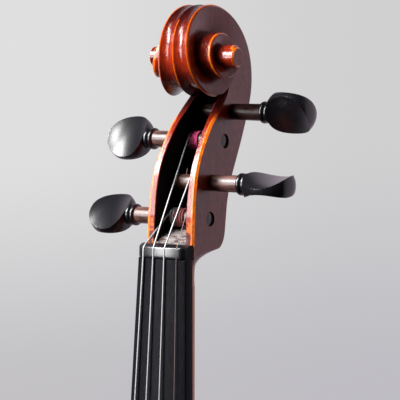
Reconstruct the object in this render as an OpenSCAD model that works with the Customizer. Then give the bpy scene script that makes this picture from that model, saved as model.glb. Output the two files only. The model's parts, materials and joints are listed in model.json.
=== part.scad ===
// Violin with its strings on, held upright by the neck with the scroll at the top.
// X runs to the treble side, Y to the back and Z up along the body.
// The origin is where the nut meets the fingerboard, on the glued face of the neck.

/* [Body] */
// Length of the body without the button
body_length = 356; // [350:1:360]
// Width across the upper bouts
upper_width = 168; // [164:1:172]
// Width across the waist
middle_width = 111; // [108:1:114]
// Width across the lower bouts
lower_width = 208; // [204:1:212]
// Height of the ribs between the two plates
rib_height = 30.5; // [29:0.5:32]
// Thickness of the ribs
rib_t = 1.1; // [1:0.1:1.3]
// How far the plates reach out past the ribs
overhang = 2.8; // [2.5:0.1:3]
// Thickness of the plates at their edge
edge_t = 4; // [3.8:0.1:4.4]
// Height of the front arch over the glued face
top_arch = 16; // [15:0.5:17]
// Height of the back arch over the glued face
back_arch = 15.5; // [14.5:0.5:16.5]
// Thickness of the front plate inside its edge
top_t = 3; // [2.6:0.1:3.4]
// Thickness of the back plate inside its edge
back_t = 3.5; // [3:0.1:4]
// Depth of the channel that runs inside the edge
channel = 0.6; // [0.4:0.1:0.8]
// Width of the blunt end of each corner
corner_width = 8; // [7.8:0.1:8.4]
// Width of the linings along the ribs
lining_w = 2; // [1.8:0.1:2.4]
// Height of the linings
lining_h = 7; // [6:0.5:8]
// Diameter of the sound post
post_d = 6.2; // [6:0.1:6.5]
// Length of the bass bar
bar_length = 268; // [255:1:272]
// Depth of the bass bar in the middle
bar_depth = 11; // [10:0.5:12]

/* [Neck] */
// Length of the neck from the nut to the body
neck_length = 130; // [127:0.5:132]
// Angle that the neck leans back from the body
neck_tilt = 6.5; // [6.3:0.1:6.7]
// Height of the neck's glued face over the front edge
overstand = 6.5; // [6:0.1:7]
// Width of the neck and the nut at the nut
nut_width = 24; // [23.6:0.1:24.4]
// Depth of the neck's wood behind the nut
neck_depth = 12.6; // [12.2:0.1:13]
// How far the foot of the neck is let into the body
tenon = 6; // [5:0.5:7]
// Radius of the button at the top of the back
button_r = 10.5; // [10:0.5:11]

/* [Fingerboard] */
// Length of the fingerboard
board_length = 270; // [266:1:272]
// Width of the fingerboard at its free end
board_end = 42; // [41:0.5:43]
// Radius of the playing surface
board_r = 42; // [41.5:0.5:43]
// Thickness of the fingerboard at its long edges
board_edge = 5.5; // [5.2:0.1:5.8]
// Length of the nut along the neck
nut_length = 6; // [5.8:0.1:6.4]
// How far the nut stands over the fingerboard
nut_rise = 0.7; // [0.6:0.1:0.9]

/* [Head] */
// Depth of the middle of the scroll behind the glued face
scroll_y = 17; // [16.5:0.1:17.5]
// Height of the middle of the scroll over the nut
scroll_z = 85.2; // [84.8:0.1:85.6]
// Half the distance between the two eyes of the scroll
eye_out = 21; // [20.5:0.1:21.5]
// Wall of the pegbox at the nut
cheek_t = 4; // [3.8:0.1:4.4]

/* [Pegs] */
// Radius of the peg shafts at the collar
peg_r = 3.7; // [3.6:0.05:3.8]
// Running clearance of the pegs in their bores
peg_clear = 0.06; // [0.03:0.01:0.1]
// Radius of the collar rings
collar_r = 4.75; // [4.5:0.05:5]
// Length of the collar
collar_l = 4.3; // [4:0.1:4.6]
// Length of the peg heads past the collar
head_l = 20; // [19.5:0.1:21]
// Radius of the peg heads across their faces
head_r = 11.2; // [10.6:0.1:11.6]
// Half the thickness of the peg heads where the faces dip
head_half_t = 2.2; // [2:0.1:2.6]
// Distance of the bass collars from the middle
bass_collar = 25.6; // [25:0.1:27.5]
// Distance of the treble collars from the middle
treble_collar = 25; // [23.5:0.1:26]
// Height of the G peg over the nut
g_peg_z = 16.6; // [16.2:0.1:17]
// Height of the E peg over the nut
e_peg_z = 31.9; // [31.5:0.1:32.3]
// Height of the D peg over the nut
d_peg_z = 49.6; // [49.2:0.1:50]
// Height of the A peg over the nut
a_peg_z = 62.3; // [61.9:0.1:62.7]

/* [Strings] */
// Distance from the top of the body to the bridge
stop = 195; // [193:0.5:197]
// Distance between the outer strings at the nut
nut_spread = 16.5; // [16:0.1:17]
// Distance between the outer strings at the bridge
bridge_spread = 33.5; // [33:0.1:34]
// Height of the strings over the line of the fingerboard at the bridge
string_height = 5; // [4.6:0.1:5.6]
// Diameter of the G string
g_d = 0.82; // [0.78:0.01:0.86]
// Diameter of the D string
d_d = 0.76; // [0.72:0.01:0.8]
// Diameter of the A string
a_d = 0.68; // [0.64:0.01:0.72]
// Diameter of the E string
e_d = 0.28; // [0.26:0.01:0.32]

/* [Fittings] */
// Width across the feet of the bridge
bridge_w = 41.5; // [40.5:0.5:42.5]
// Thickness of the bridge at its feet
bridge_foot_t = 4.5; // [4:0.1:4.8]
// Thickness of the bridge at its top
bridge_top_t = 1.4; // [1.2:0.1:1.6]
// Distance between the tailpiece and the saddle
tail_gap = 2; // [1.5:0.1:3]
// Length of the tailpiece
tail_length = 104; // [101:0.5:105]
// Width of the tailpiece at the string end
tail_w = 42; // [40:0.5:43]
// Width of the tailpiece at the loop end
tail_end_w = 22; // [20:0.5:24]
// Diameter of the loop that holds the tailpiece
loop_d = 2; // [1.8:0.1:2.2]
// Width of the saddle
saddle_w = 34; // [32:0.5:36]
// Depth of the saddle along the body
saddle_l = 7; // [6.5:0.1:7.5]
// Height of the saddle over the front edge
saddle_h = 5; // [4.5:0.1:5.5]
// Radius of the end button's head
knob_r = 7; // [6.5:0.1:7.5]
// Length of the end button's head
knob_l = 7.5; // [7:0.1:8.5]
// Radius of the end button's shank at the ribs
shank_r = 4; // [3.8:0.1:4.3]

/* [Hidden] */

$fn = 48;
varnish = [0.62, 0.22, 0.08];
maple = [0.80, 0.62, 0.38];
spruce = [0.86, 0.72, 0.48];
ebony = [0.13, 0.12, 0.12];
steel = [0.76, 0.77, 0.79];
silk = [0.80, 0.45, 0.52];

// Small gap between glued pieces that meet on a curved face
glue = 0.05;
// Gap between a moving piece and a still one
free = 0.3;

// Widest, narrowest and corner places, up from the lower end of the body
upper_at = body_length * 0.82;
upper_corner = [upper_width / 2 - 6, body_length * 0.657];
middle_at = body_length * 0.534;
lower_corner = [lower_width / 2 - 10, body_length * 0.395];
lower_at = body_length * 0.21;
margin = 7;
flange = overhang + rib_t + lining_w + 1;

// Planes of the body in the shared frame
body_top = -neck_length * cos(neck_tilt);
body_foot = body_top - body_length;
front_edge = -neck_length * sin(neck_tilt) + overstand;
rib_front = front_edge + edge_t;
rib_back = rib_front + rib_height;
bridge_z = body_top - stop;
bridge_v = body_length - stop;

function lerp(a, b, t) = a + (b - a) * t;
function smooth(t) = t * t * (3 - 2 * t);
function flip(list) = [for (i = [len(list) - 1:-1:0]) list[i]];
function unit(v) = v / norm(v);
function bezier(p, t) =
  p[0] * pow(1 - t, 3) + 3 * p[1] * t * pow(1 - t, 2)
  + 3 * p[2] * t * t * (1 - t) + p[3] * pow(t, 3);
function curve(p, n) = [for (i = [0:n]) bezier(p, i / n)];
function joined(a, b) = concat([for (i = [0:len(a) - 2]) a[i]], b);

// Smooth curve through a list of knots; t counts knots
function through(k, t) =
  let(i = min(max(floor(t), 1), len(k) - 3), u = t - i)
  let(a = k[i - 1], b = k[i], c = k[i + 1], d = k[i + 2])
  b + 0.5 * u * (c - a + u * (2 * a - 5 * b + 4 * c - d + u * (3 * (b - c) + d - a)));
function spline(k, n) =
  [for (i = [1:len(k) - 3]) for (s = [0:n - 1]) through(k, i + s / n)];

// Neck frame to shared frame
function shared(p) = [
  p[0],
  p[1] * cos(neck_tilt) + p[2] * sin(neck_tilt),
  p[2] * cos(neck_tilt) - p[1] * sin(neck_tilt)
];

module in_neck() {
  rotate([-neck_tilt, 0, 0])
    children();
}

// Solid skin over a list of rings with the same number of points
module loft(rings) {
  n = len(rings[0]);
  m = len(rings);
  polyhedron(
    points = [for (r = rings) for (p = r) p],
    faces = concat(
      [for (j = [0:m - 2]) for (i = [0:n - 1])
        [j * n + i, (j + 1) * n + i, (j + 1) * n + (i + 1) % n]],
      [for (j = [0:m - 2]) for (i = [0:n - 1])
        [j * n + i, (j + 1) * n + (i + 1) % n, j * n + (i + 1) % n]],
      [[for (i = [0:n - 1]) i]],
      [[for (i = [n - 1:-1:0]) (m - 1) * n + i]]
    )
  );
}

// Straight round rod between two points
module rod(a, b, r) {
  d = b - a;
  translate(a)
    rotate([0, acos(d[2] / norm(d)), atan2(d[1], d[0])])
      cylinder(r = r, h = norm(d), $fn = 24);
}

// Round cord along a path
function heading(p, i) =
  i == 0 ? unit(p[1] - p[0])
  : i == len(p) - 1 ? unit(p[i] - p[i - 1])
  : unit(unit(p[i + 1] - p[i]) + unit(p[i] - p[i - 1]));
function sides(p, i, u) =
  let(h = heading(p, i), s = unit(u - h * (u * h)))
  i == len(p) - 1 ? [s] : concat([s], sides(p, i + 1, s));

module cord(path, r, count = 8) {
  across = sides(path, 0, [0.31, 0.9, 0.3]);
  loft([for (i = [0:len(path) - 1])
    [for (k = [0:count - 1])
      path[i] + r * (cos(360 * k / count) * across[i]
        + sin(360 * k / count) * cross(across[i], heading(path, i)))]]);
}

// Outline of the body, treble half, as curves from the top to the lower end
upper_in = upper_corner + corner_width * [-0.39, -0.92];
lower_in = lower_corner + corner_width * [-0.52, 0.855];
upper_bout = joined(
  curve([
    [0, body_length],
    [upper_width * 0.275, body_length],
    [upper_width / 2, upper_at + 41],
    [upper_width / 2, upper_at]
  ], 12),
  curve([
    [upper_width / 2, upper_at],
    [upper_width / 2, upper_at - 22],
    upper_corner + [-8, 19],
    upper_corner
  ], 8)
);
middle_bout = joined(
  curve([
    upper_in,
    upper_in + [-11.5, -2],
    [middle_width / 2, middle_at + 20],
    [middle_width / 2, middle_at]
  ], 8),
  curve([
    [middle_width / 2, middle_at],
    [middle_width / 2, middle_at - 23],
    lower_in + [-22, 4],
    lower_in
  ], 8)
);
lower_bout = joined(
  curve([
    lower_corner,
    lower_corner + [-12, -18.5],
    [lower_width / 2, lower_at + 33],
    [lower_width / 2, lower_at]
  ], 8),
  curve([
    [lower_width / 2, lower_at],
    [lower_width / 2, lower_at - 45],
    [lower_width * 0.28, 0],
    [0, 0]
  ], 12)
);
half_outline = concat(upper_bout, middle_bout, lower_bout);
half_n = len(half_outline) - 1;
outline = concat(
  half_outline,
  [for (i = [half_n - 1:-1:1]) [-half_outline[i][0], half_outline[i][1]]]
);

// A bout's curve moved in from the edge
function run(c, i) =
  let(a = c[max(i - 1, 0)], b = c[min(i + 1, len(c) - 1)])
  unit(b - a);
function inset(c, d) =
  [for (i = [0:len(c) - 1])
    let(h = c[i][0] == 0 ? [1, 0] * (i == 0 ? 1 : -1) : run(c, i))
    c[i] + d * [h[1], -h[0]]];

// Arch of a plate over its glued face at a place on the body
function arch_half(v) =
  let(u = upper_width / 2 - margin, m = middle_width / 2 - 5, l = lower_width / 2 - margin)
  v > upper_at
    ? u * sqrt(max(0, 1 - pow((v - upper_at) / (body_length - margin - upper_at), 2)))
  : v < lower_at
    ? l * sqrt(max(0, 1 - pow((lower_at - v) / (lower_at - margin), 2)))
  : v > middle_at
    ? lerp(m, u, smooth((v - middle_at) / (upper_at - middle_at)))
  : lerp(l, m, smooth((v - lower_at) / (middle_at - lower_at)));
function arch(x, v, peak) =
  let(q = min(1, abs(x) / max(0.01, arch_half(v))))
  let(s = min(1, abs(v - body_length / 2) / (body_length / 2 - margin)))
  edge_t + (peak - edge_t) * (1 - pow(s, 2.6)) * (1 + cos(180 * q)) / 2;

// Stations of a plate's section: distance in from the edge, share of the rest
inner_stations = concat(
  [for (share = [1, 0.86, 0.72, 0.58, 0.44, 0.3, 0.15, 0]) [flange + 2, share]],
  [[flange, 0], [0.5, 0]]);
outer_stations = [[0.9, 0], [4, 0], [7, 0], [11, 0], [11, 0.16], [11, 0.34],
  [11, 0.55], [11, 0.78], [11, 1]];
function spine(v) = [0, body_length * 0.17 + v * 0.66];
function station(i, s) =
  let(p = outline[i], q = spine(outline[i][1]), l = norm(q - p))
  p + (q - p) * (s[0] + (l - s[0]) * s[1]) / l;
function groove(d) = d < 11 ? pow(sin(180 * d / 11), 2) : 0;
function plate_rows(peak, t) = concat(
  [for (s = inner_stations) [for (i = [0:len(outline) - 1])
    let(p = station(i, s))
    [p[0], p[1], s[0] > flange ? max(0, arch(p[0], p[1], peak) - t) : 0]]],
  [for (h = [0.25, 0.75]) [for (p = outline) [p[0], p[1], h * edge_t]]],
  [for (s = outer_stations) [for (i = [0:len(outline) - 1])
    let(p = station(i, s))
    [p[0], p[1], arch(p[0], p[1], peak)
      - (s[1] == 0 ? channel * groove(s[0]) : 0)
      - (s[0] < 1 ? 0.2 : 0)]]]
);

// Plate lying on its glued face: X across, Y along the body, Z out
module plate(peak, t) {
  rows = plate_rows(peak, t);
  n = len(outline);
  m = len(rows);
  function at(j, i) = j * n + ((j == 0 || j == m - 1) && i % n > half_n ? n - i % n : i % n);
  polyhedron(
    points = [for (r = rows) for (p = r) p],
    faces = concat(
      [for (j = [0:m - 2]) for (i = [0:n - 1])
        if (j > 0 || at(j, i) != at(j, i + 1))
          [at(j, i), at(j, i + 1), at(j + 1, i + 1)]],
      [for (j = [0:m - 2]) for (i = [0:n - 1])
        if (j < m - 2 || at(j + 1, i) != at(j + 1, i + 1))
          [at(j, i), at(j + 1, i + 1), at(j + 1, i)]]
    )
  );
}

// Lays body drawings, with Z out of the front, into the shared frame
module on_front() {
  translate([0, rib_front, body_foot])
    rotate([90, 0, 0])
      children();
}

module on_back() {
  translate([0, rib_back, body_foot])
    mirror([0, 1, 0])
      rotate([90, 0, 0])
        children();
}

// Foot of the neck, which the body is cut away for
foot_z = body_foot + body_length - overhang - tenon;
function foot_half(y) = lerp(button_r, 16, (rib_back - y) / (rib_back - rib_front + 10));
module neck_foot(top, gap = 0) {
  front = rib_front - 14;
  translate([0, 0, foot_z - gap])
    linear_extrude(height = top - foot_z + gap)
      polygon([
        [foot_half(front) + gap, front],
        [foot_half(rib_back) + gap, rib_back],
        [-foot_half(rib_back) - gap, rib_back],
        [-foot_half(front) - gap, front]
      ]);
}

// One f-hole, treble side
module f_hole() {
  c = [0, bridge_v];
  translate([0, 0, -1])
    linear_extrude(height = top_arch + 4) {
      translate(c + [24.6, 30.5])
        circle(r = 3.2);
      translate(c + [56.6, -29.5])
        circle(r = 4.4);
      polygon(concat(
        joined(
          curve([c + [24.6, 33.7], c + [28, 37.5], c + [35.5, 37], c + [38.4, 27.5]], 8),
          joined(
            curve([c + [38.4, 27.5], c + [41.6, 17], c + [43, 5], c + [45.2, -9]], 6),
            curve([c + [45.2, -9], c + [47.2, -20], c + [49, -27], c + [52.4, -31]], 6))),
        joined(
          curve([c + [56.6, -33.9], c + [53, -37.4], c + [46.5, -37], c + [43.2, -27.5]], 8),
          joined(
            curve([c + [43.2, -27.5], c + [40, -17], c + [39, -5], c + [36.6, 9]], 6),
            curve([c + [36.6, 9], c + [34.6, 20], c + [32.5, 27], c + [27.6, 31.6]], 6)))
      ));
    }
}

module saddle_block() {
  r = 3;
  translate([-saddle_w / 2, 0, body_foot])
    rotate([90, 0, 90])
      linear_extrude(height = saddle_w)
        polygon(concat(
          [[rib_front, 0], [rib_front, saddle_l]],
          [for (k = [0:4]) [
            saddle_top + r - r * sin(22.5 * k),
            saddle_l - r + r * cos(22.5 * k)
          ]],
          [for (k = [0:4]) [
            saddle_top + r - r * cos(22.5 * k),
            r - r * sin(22.5 * k)
          ]]
        ));
}

module top_plate() {
  color(varnish)
    difference() {
      on_front()
        plate(top_arch, top_t);
      on_front()
        f_hole();
      on_front()
        mirror([1, 0, 0])
          f_hole();
      neck_foot(body_top + 5, glue);
      translate([-saddle_w / 2 - glue, rib_front - edge_t - 4, body_foot - 1])
        cube([saddle_w + 2 * glue, edge_t + 5, saddle_l + 1 + glue]);
    }
}

module back_plate() {
  color(varnish)
    union() {
      on_back()
        plate(back_arch, back_t);
      on_back()
        translate([0, body_length + 2, 0])
          cylinder(r = button_r, h = edge_t - 0.1);
    }
}

// Strip that follows a bout between two distances from the edge
module strip(c, near, far, y0, y1) {
  translate([0, y1, body_foot])
    rotate([90, 0, 0])
      linear_extrude(height = y1 - y0)
        polygon(concat(inset(c, near), flip(inset(c, far))));
}

module rib_upper() {
  difference() {
    strip(upper_bout, overhang, overhang + rib_t, rib_front, rib_back);
    neck_foot(body_top + 5, glue);
  }
}

module rib_middle() {
  strip(middle_bout, overhang, overhang + rib_t, rib_front, rib_back);
}

module rib_lower() {
  difference() {
    strip(lower_bout, overhang, overhang + rib_t, rib_front, rib_back);
    shank_bore();
  }
}

module rib_upper_treble() {
  color(varnish)
    rib_upper();
}

module rib_upper_bass() {
  color(varnish)
    mirror([1, 0, 0])
      rib_upper();
}

module rib_middle_treble() {
  color(varnish)
    rib_middle();
}

module rib_middle_bass() {
  color(varnish)
    mirror([1, 0, 0])
      rib_middle();
}

module rib_lower_treble() {
  color(varnish)
    rib_lower();
}

module rib_lower_bass() {
  color(varnish)
    mirror([1, 0, 0])
      rib_lower();
}

// Inner block at each end, with its outer face along the ribs
function block_edge(c) = [for (p = inset(c, overhang + rib_t + glue)) if (p[0] < 26) p];

module upper_block() {
  e = block_edge(upper_bout);
  color(maple)
    difference() {
      translate([0, rib_back, body_foot])
        rotate([90, 0, 0])
          linear_extrude(height = rib_height)
            polygon(concat(
              [for (p = flip(e)) [-p[0], p[1]]],
              e,
              [[e[len(e) - 1][0], body_length - 24], [-e[len(e) - 1][0], body_length - 24]]));
      neck_foot(body_top + 5, glue);
    }
}

module lower_block() {
  e = block_edge(lower_bout);
  color(maple)
    difference() {
      translate([0, rib_back, body_foot])
        rotate([90, 0, 0])
          linear_extrude(height = rib_height)
            polygon(concat(
              e,
              [for (p = flip(e)) [-p[0], p[1]]],
              [[-e[0][0], 20], [e[0][0], 20]]));
      shank_bore();
    }
}

// Block in a corner, between the last stretches of two bouts
module corner_block(c, d) {
  near = overhang + rib_t + glue;
  translate([0, rib_back, body_foot])
    rotate([90, 0, 0])
      linear_extrude(height = rib_height)
        polygon(concat(inset(c, near), inset(d, near)));
}

function last_of(c, n) = [for (i = [len(c) - n:len(c) - 1]) c[i]];
function first_of(c, n) = [for (i = [0:n - 1]) c[i]];

module block_upper() {
  color(maple)
    corner_block(last_of(upper_bout, 5), first_of(middle_bout, 4));
}

module block_lower() {
  color(maple)
    corner_block(last_of(middle_bout, 4), first_of(lower_bout, 5));
}

module block_upper_treble() {
  block_upper();
}

module block_upper_bass() {
  mirror([1, 0, 0])
    block_upper();
}

module block_lower_treble() {
  block_lower();
}

module block_lower_bass() {
  mirror([1, 0, 0])
    block_lower();
}

// Linings between the blocks, along one edge of the ribs
module lining_half(y0, y1) {
  near = overhang + rib_t + glue;
  far = near + lining_w;
  u = upper_bout;
  l = lower_bout;
  strip([for (i = [5:len(u) - 6]) u[i]], near, far, y0, y1);
  strip([for (i = [4:len(middle_bout) - 5]) middle_bout[i]], near, far, y0, y1);
  strip([for (i = [5:len(l) - 5]) l[i]], near, far, y0, y1);
}

module linings_front() {
  color(maple) {
    lining_half(rib_front, rib_front + lining_h);
    mirror([1, 0, 0])
      lining_half(rib_front, rib_front + lining_h);
  }
}

module linings_back() {
  color(maple) {
    lining_half(rib_back - lining_h, rib_back);
    mirror([1, 0, 0])
      lining_half(rib_back - lining_h, rib_back);
  }
}

// Gap between an inner piece and the plate whose arch it follows
fitted = 0.35;

// Bar glued along the inside of the front, under the bass foot of the bridge
bar_x = -16;
bar_w = 5.5;
function under_front(v) =
  min(arch(bar_x - bar_w / 2, v, top_arch), arch(bar_x + bar_w / 2, v, top_arch)) - top_t - fitted;
module bass_bar() {
  v0 = body_length / 2 - bar_length / 2;
  steps = 24;
  color(spruce)
    translate([bar_x - bar_w / 2, rib_front, body_foot])
      rotate([90, 0, 90])
        linear_extrude(height = bar_w)
          polygon(concat(
            [for (i = [0:steps])
              let(v = v0 + bar_length * i / steps)
              [-under_front(v), v]],
            [for (i = [steps:-1:0])
              let(v = v0 + bar_length * i / steps)
              [-under_front(v) + lerp(3, bar_depth, sin(180 * i / steps)), v]]));
}

// Post between the plates, a little below the treble foot
post_x = 18;
post_v = bridge_v - 10;
module sound_post() {
  r = post_d / 2;
  x = post_x + 0.8 * r;
  v = post_v - 0.8 * r;
  y0 = rib_front - (arch(x, v, top_arch) - top_t - fitted);
  y1 = rib_back + arch(x, v, back_arch) - back_t - fitted;
  color(spruce)
    translate([post_x, y0, body_foot + post_v])
      rotate([-90, 0, 0])
        cylinder(d = post_d, h = y1 - y0);
}

// Neck: a rounded shaft that deepens into the heel
function neck_half(z) = lerp(nut_width / 2, 16, -z / neck_length) - 0.1;
heel_depth = (rib_back + neck_length * sin(neck_tilt)) / cos(neck_tilt);
function neck_back(z) =
  let(u = max(0, (-z - neck_length + 30) / 26))
  lerp(neck_depth, neck_depth + 2, -z / neck_length)
  + (heel_depth - neck_depth - 3) * (1 - sqrt(max(0, 1 - min(1, u * u))));
function neck_ring(z) =
  let(a = neck_half(z), b = neck_back(z), k = b / heel_depth)
  let(narrow = lerp(a, button_r, max(0, k - 0.35) / 0.65))
  let(slim = 1 - smooth(min(1, max(0, (k - 0.38) / 0.3))))
  concat(
    [[a, 0, z], [-a, 0, z]],
    [for (i = [0:14])
      let(t = 180 - 180 * (i + 0.5) / 15)
      let(deep = lerp(0.03, 1, pow(sin(t), 0.9)))
      let(full = pow(abs(cos(t)), 0.75), lean = pow(1 - pow(deep, 1.55), 0.75))
      [lerp(a, narrow, sin(t)) * sign(cos(t)) * lerp(full, lean, slim), b * deep, z]]
  );

module neck_shaft() {
  zs = concat(
    [4, 0, -20, -50, -80, -95],
    [for (i = [0:8]) -neck_length + 30 - 26 * sin(90 * i / 8)],
    [-neck_length - 1]);
  loft([for (z = zs) neck_ring(z)]);
}

// Pegbox seen from the side: front edge and back, in the neck frame
box_front = [[0.3, -3], [0.3, 7], [0.1, 18], [1.2, 29], [3.4, 38.5], [8.3, 48],
  [13.9, 56.2], [20.6, 63], [25, 69.5], [28, 75]];
box_back = [[46, 84], [48.4, 74], [46.9, 65.5], [42.9, 55.2], [36.9, 44.6], [31.8, 35.5],
  [28.1, 26], [26.3, 17.5], [25.3, 10.5], [22.2, 4.7], [15, 2.2], [neck_depth, -2], [12, -6]];
box_half = [[12, -10], [nut_width / 2, 0], [11.9, 16], [11.7, 29], [11.2, 40], [10.6, 52],
  [10.1, 62], [9.2, 72], [8.4, 84], [8.4, 90]];
hollow_half = [[9, -4], [nut_width / 2 - cheek_t, 8], [7.9, 18], [7.9, 32], [7.7, 44],
  [7.1, 57], [6.1, 66], [5, 74], [4.6, 80]];

module from_side(points, half) {
  rotate([90, 0, 90])
    translate([0, 0, -half])
      linear_extrude(height = 2 * half)
        polygon(points);
}

module from_front(points) {
  rotate([90, 0, 0])
    translate([0, 0, -60])
      linear_extrude(height = 90)
        polygon(concat(points, flip([for (p = points) [-p[0], p[1]]])));
}

module pegbox() {
  difference() {
    intersection() {
      from_side(concat(
        [[0, -2], [0, nut_length]],
        spline(box_front, 3),
        [[26, 72], [30, 78], [44.5, 78]],
        spline(box_back, 3)
      ), 14);
      from_front(spline(box_half, 3));
    }
    intersection() {
      from_side([
        [-4, 7.5], [1, 7.8], [9, 8.4], [16.5, 10.2], [19.4, 16], [20.6, 24], [23.2, 33],
        [28.4, 42.5], [34.2, 52], [38.2, 60], [38, 65.5], [33, 68.4], [26, 68],
        [21.5, 63.5], [8, 55], [-4, 45]
      ], 14);
      from_front(spline(hollow_half, 3));
    }
  }
}

// Scroll: a band that winds in to the eye and widens as it goes.
// Radii and half widths are listed for each quarter turn, from half a turn before the back.
scroll_radii = [58, 44, 31.6, 22.4, 18.4, 16.7, 12.8, 10.2, 9.6, 9, 6.8, 5.2, 4.3, 4.3, 4.3,
  4.3, 4.3, 4.3];
scroll_halves = [13, 10.4, 8, 5, 7.75, 11.4, 12.2, 12.4, 13.3, eye_out - 4.7, eye_out - 2.7,
  eye_out - 1.2, eye_out, eye_out, eye_out, eye_out, eye_out, eye_out];
turn_steps = 32;
scroll_start = -3;
scroll_end = 80;
function coil_t(k) = k / turn_steps;
function coil_r(k) = through(scroll_radii, 2 + 4 * coil_t(k));
function coil_w(k) = through(scroll_halves, 2 + 4 * coil_t(k));
function coil(k, x) = [
  x,
  scroll_y + coil_r(k) * cos(360 * coil_t(k)),
  scroll_z + coil_r(k) * sin(360 * coil_t(k))
];

module scroll() {
  n = turn_steps;
  s = scroll_start;
  count = scroll_end + n - s;
  q = coil_w(s) / coil_w(s + n);
  // Per step: right edge, right foot of the wall, left foot, left edge
  points = concat(
    [for (k = [s:s + count])
      let(w = coil_w(k), f = k < s + n ? q * w : coil_w(k - n))
      for (x = [w, f, -f, -w]) coil(k, x)],
    [[eye_out, scroll_y, scroll_z], [-eye_out, scroll_y, scroll_z]]);
  tip = 4 * (count + 1);
  function at(k, c) = 4 * (k - s) + c;
  band = [for (k = [s:s + n - 1]) for (c = [0:2])
    for (f = [[at(k, c), at(k + 1, c), at(k + 1, c + 1)],
      [at(k, c), at(k + 1, c + 1), at(k, c + 1)]]) f];
  beds = [for (k = [s:scroll_end - 1])
    for (f = [
      [at(k, 0), at(k + n, 1), at(k + n + 1, 1)], [at(k, 0), at(k + n + 1, 1), at(k + 1, 0)],
      [at(k, 3), at(k + n + 1, 2), at(k + n, 2)], [at(k, 3), at(k + 1, 3), at(k + n + 1, 2)]
    ]) f];
  walls = [for (k = [s + n:scroll_end + n - 1])
    for (f = [
      [at(k, 1), at(k, 0), at(k + 1, 0)], [at(k, 1), at(k + 1, 0), at(k + 1, 1)],
      [at(k, 2), at(k + 1, 3), at(k, 3)], [at(k, 2), at(k + 1, 2), at(k + 1, 3)]
    ]) f];
  e = scroll_end;
  eyes = concat(
    [for (k = [e:e + n - 1]) [at(k, 0), tip, at(k + 1, 0)]],
    [for (k = [e:e + n - 1]) [at(k, 3), at(k + 1, 3), tip + 1]],
    [[at(e, 0), at(e + n, 0), at(e + n, 1)], [at(e, 3), at(e + n, 2), at(e + n, 3)]]);
  cap = [[at(s, 0), at(s, 1), at(s + n, 1)],
    [at(s, 1), at(s, 2), at(s + n, 2)], [at(s, 1), at(s + n, 2), at(s + n, 1)],
    [at(s, 2), at(s, 3), at(s + n, 2)]];
  polyhedron(points = points, faces = concat(band, beds, walls, eyes, cap));
}

module neck() {
  color(varnish)
    union() {
      in_neck()
        union() {
          neck_shaft();
          difference() {
            pegbox();
            for (p = pegs)
              peg_bore(p);
          }
          scroll();
        }
      intersection() {
        neck_foot(body_top - overhang + 3);
        in_neck()
          translate([-30, 0, -neck_length - 40])
            cube([60, 80, 60]);
      }
    }
}

// Nut with a slot for each string, which bends down to its peg here
nut_bend = 4.5;
module nut() {
  top = board_middle(0) + nut_rise;
  color(ebony)
    in_neck()
      difference() {
        intersection() {
          translate([-nut_width / 2, -top, 0])
            cube([nut_width, top, nut_length]);
          translate([0, board_r - top, -1])
            cylinder(r = board_r, h = nut_length + 2, $fn = 180);
          from_side([[0.5, -1], [-top - 1, -1], [-top - 1, nut_bend], [-top, nut_bend],
            [-top + 3.6, nut_length], [0.5, nut_length]], 20);
        }
        for (i = [0:3])
          translate([nut_x(i), nut_y(i), -1])
            cylinder(r = string_r(i) + 0.06, h = nut_bend + 1, $fn = 24);
        for (i = [0:3])
          rod([nut_x(i), nut_y(i), nut_bend], leave(i), string_r(i) + 0.1);
      }
}

// Fingerboard: middle thickness falls so that its long edges keep their height
function crown_of(r, half) = r - sqrt(r * r - half * half);
function crown(half) = crown_of(board_r, half);
function board_middle(z) =
  board_edge + lerp(crown(nut_width / 2), crown(board_end / 2), -z / board_length);
module fingerboard() {
  fall = atan((board_middle(-board_length) - board_middle(0)) / board_length);
  color(ebony)
    in_neck()
      difference() {
        intersection() {
          rotate([90, 0, 0])
            linear_extrude(height = 20)
              polygon([
                [nut_width / 2, 0], [-nut_width / 2, 0],
                [-board_end / 2, -board_length], [board_end / 2, -board_length]
              ]);
          translate([0, board_r - board_middle(0), 0])
            rotate([-fall, 0, 0])
              translate([0, 0, -board_length - 10])
                cylinder(r = board_r, h = board_length + 20, $fn = 180);
        }
        translate([0, 24, -board_length - 1])
          cylinder(r = 28, h = board_length - neck_length - 6, $fn = 120);
      }
}

// Pegs: depth behind the glued face, height, side and length through the box
g_peg_y = 13;
e_peg_y = 15;
d_peg_y = 25.2;
a_peg_y = 31.8;
pegs = [
  [-1, g_peg_y, g_peg_z, bass_collar],
  [-1, d_peg_y, d_peg_z, bass_collar],
  [1, a_peg_y, a_peg_z, treble_collar],
  [1, e_peg_y, e_peg_z, treble_collar]
];
// How far a peg's end stays inside the far cheek
peg_short = 0.7;
function peg_reach(p) = lookup(p[2], [for (h = box_half) [h[1], h[0]]]) - peg_short;
// Angle of each head's face about its shaft, and how much longer than usual each head is
peg_turn = [45, 58, 132, 14];
head_extra = [-0.4, -0.4, 0.5, 1.2];
dish_r = 28;
dish_at = 0.42;

// Lays a peg drawing, with its axis on Z and its head up, on its place
module on_peg(p) {
  translate([0, p[1], p[2]])
    rotate([0, 90 * p[0], 0])
      translate([0, 0, p[3]])
        children();
}

module peg_bore(p) {
  l = p[3] + 20;
  on_peg(p)
    translate([0, 0, -l])
      cylinder(r1 = peg_r - l / 60 + peg_clear, r2 = peg_r + peg_clear, h = l);
}

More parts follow.
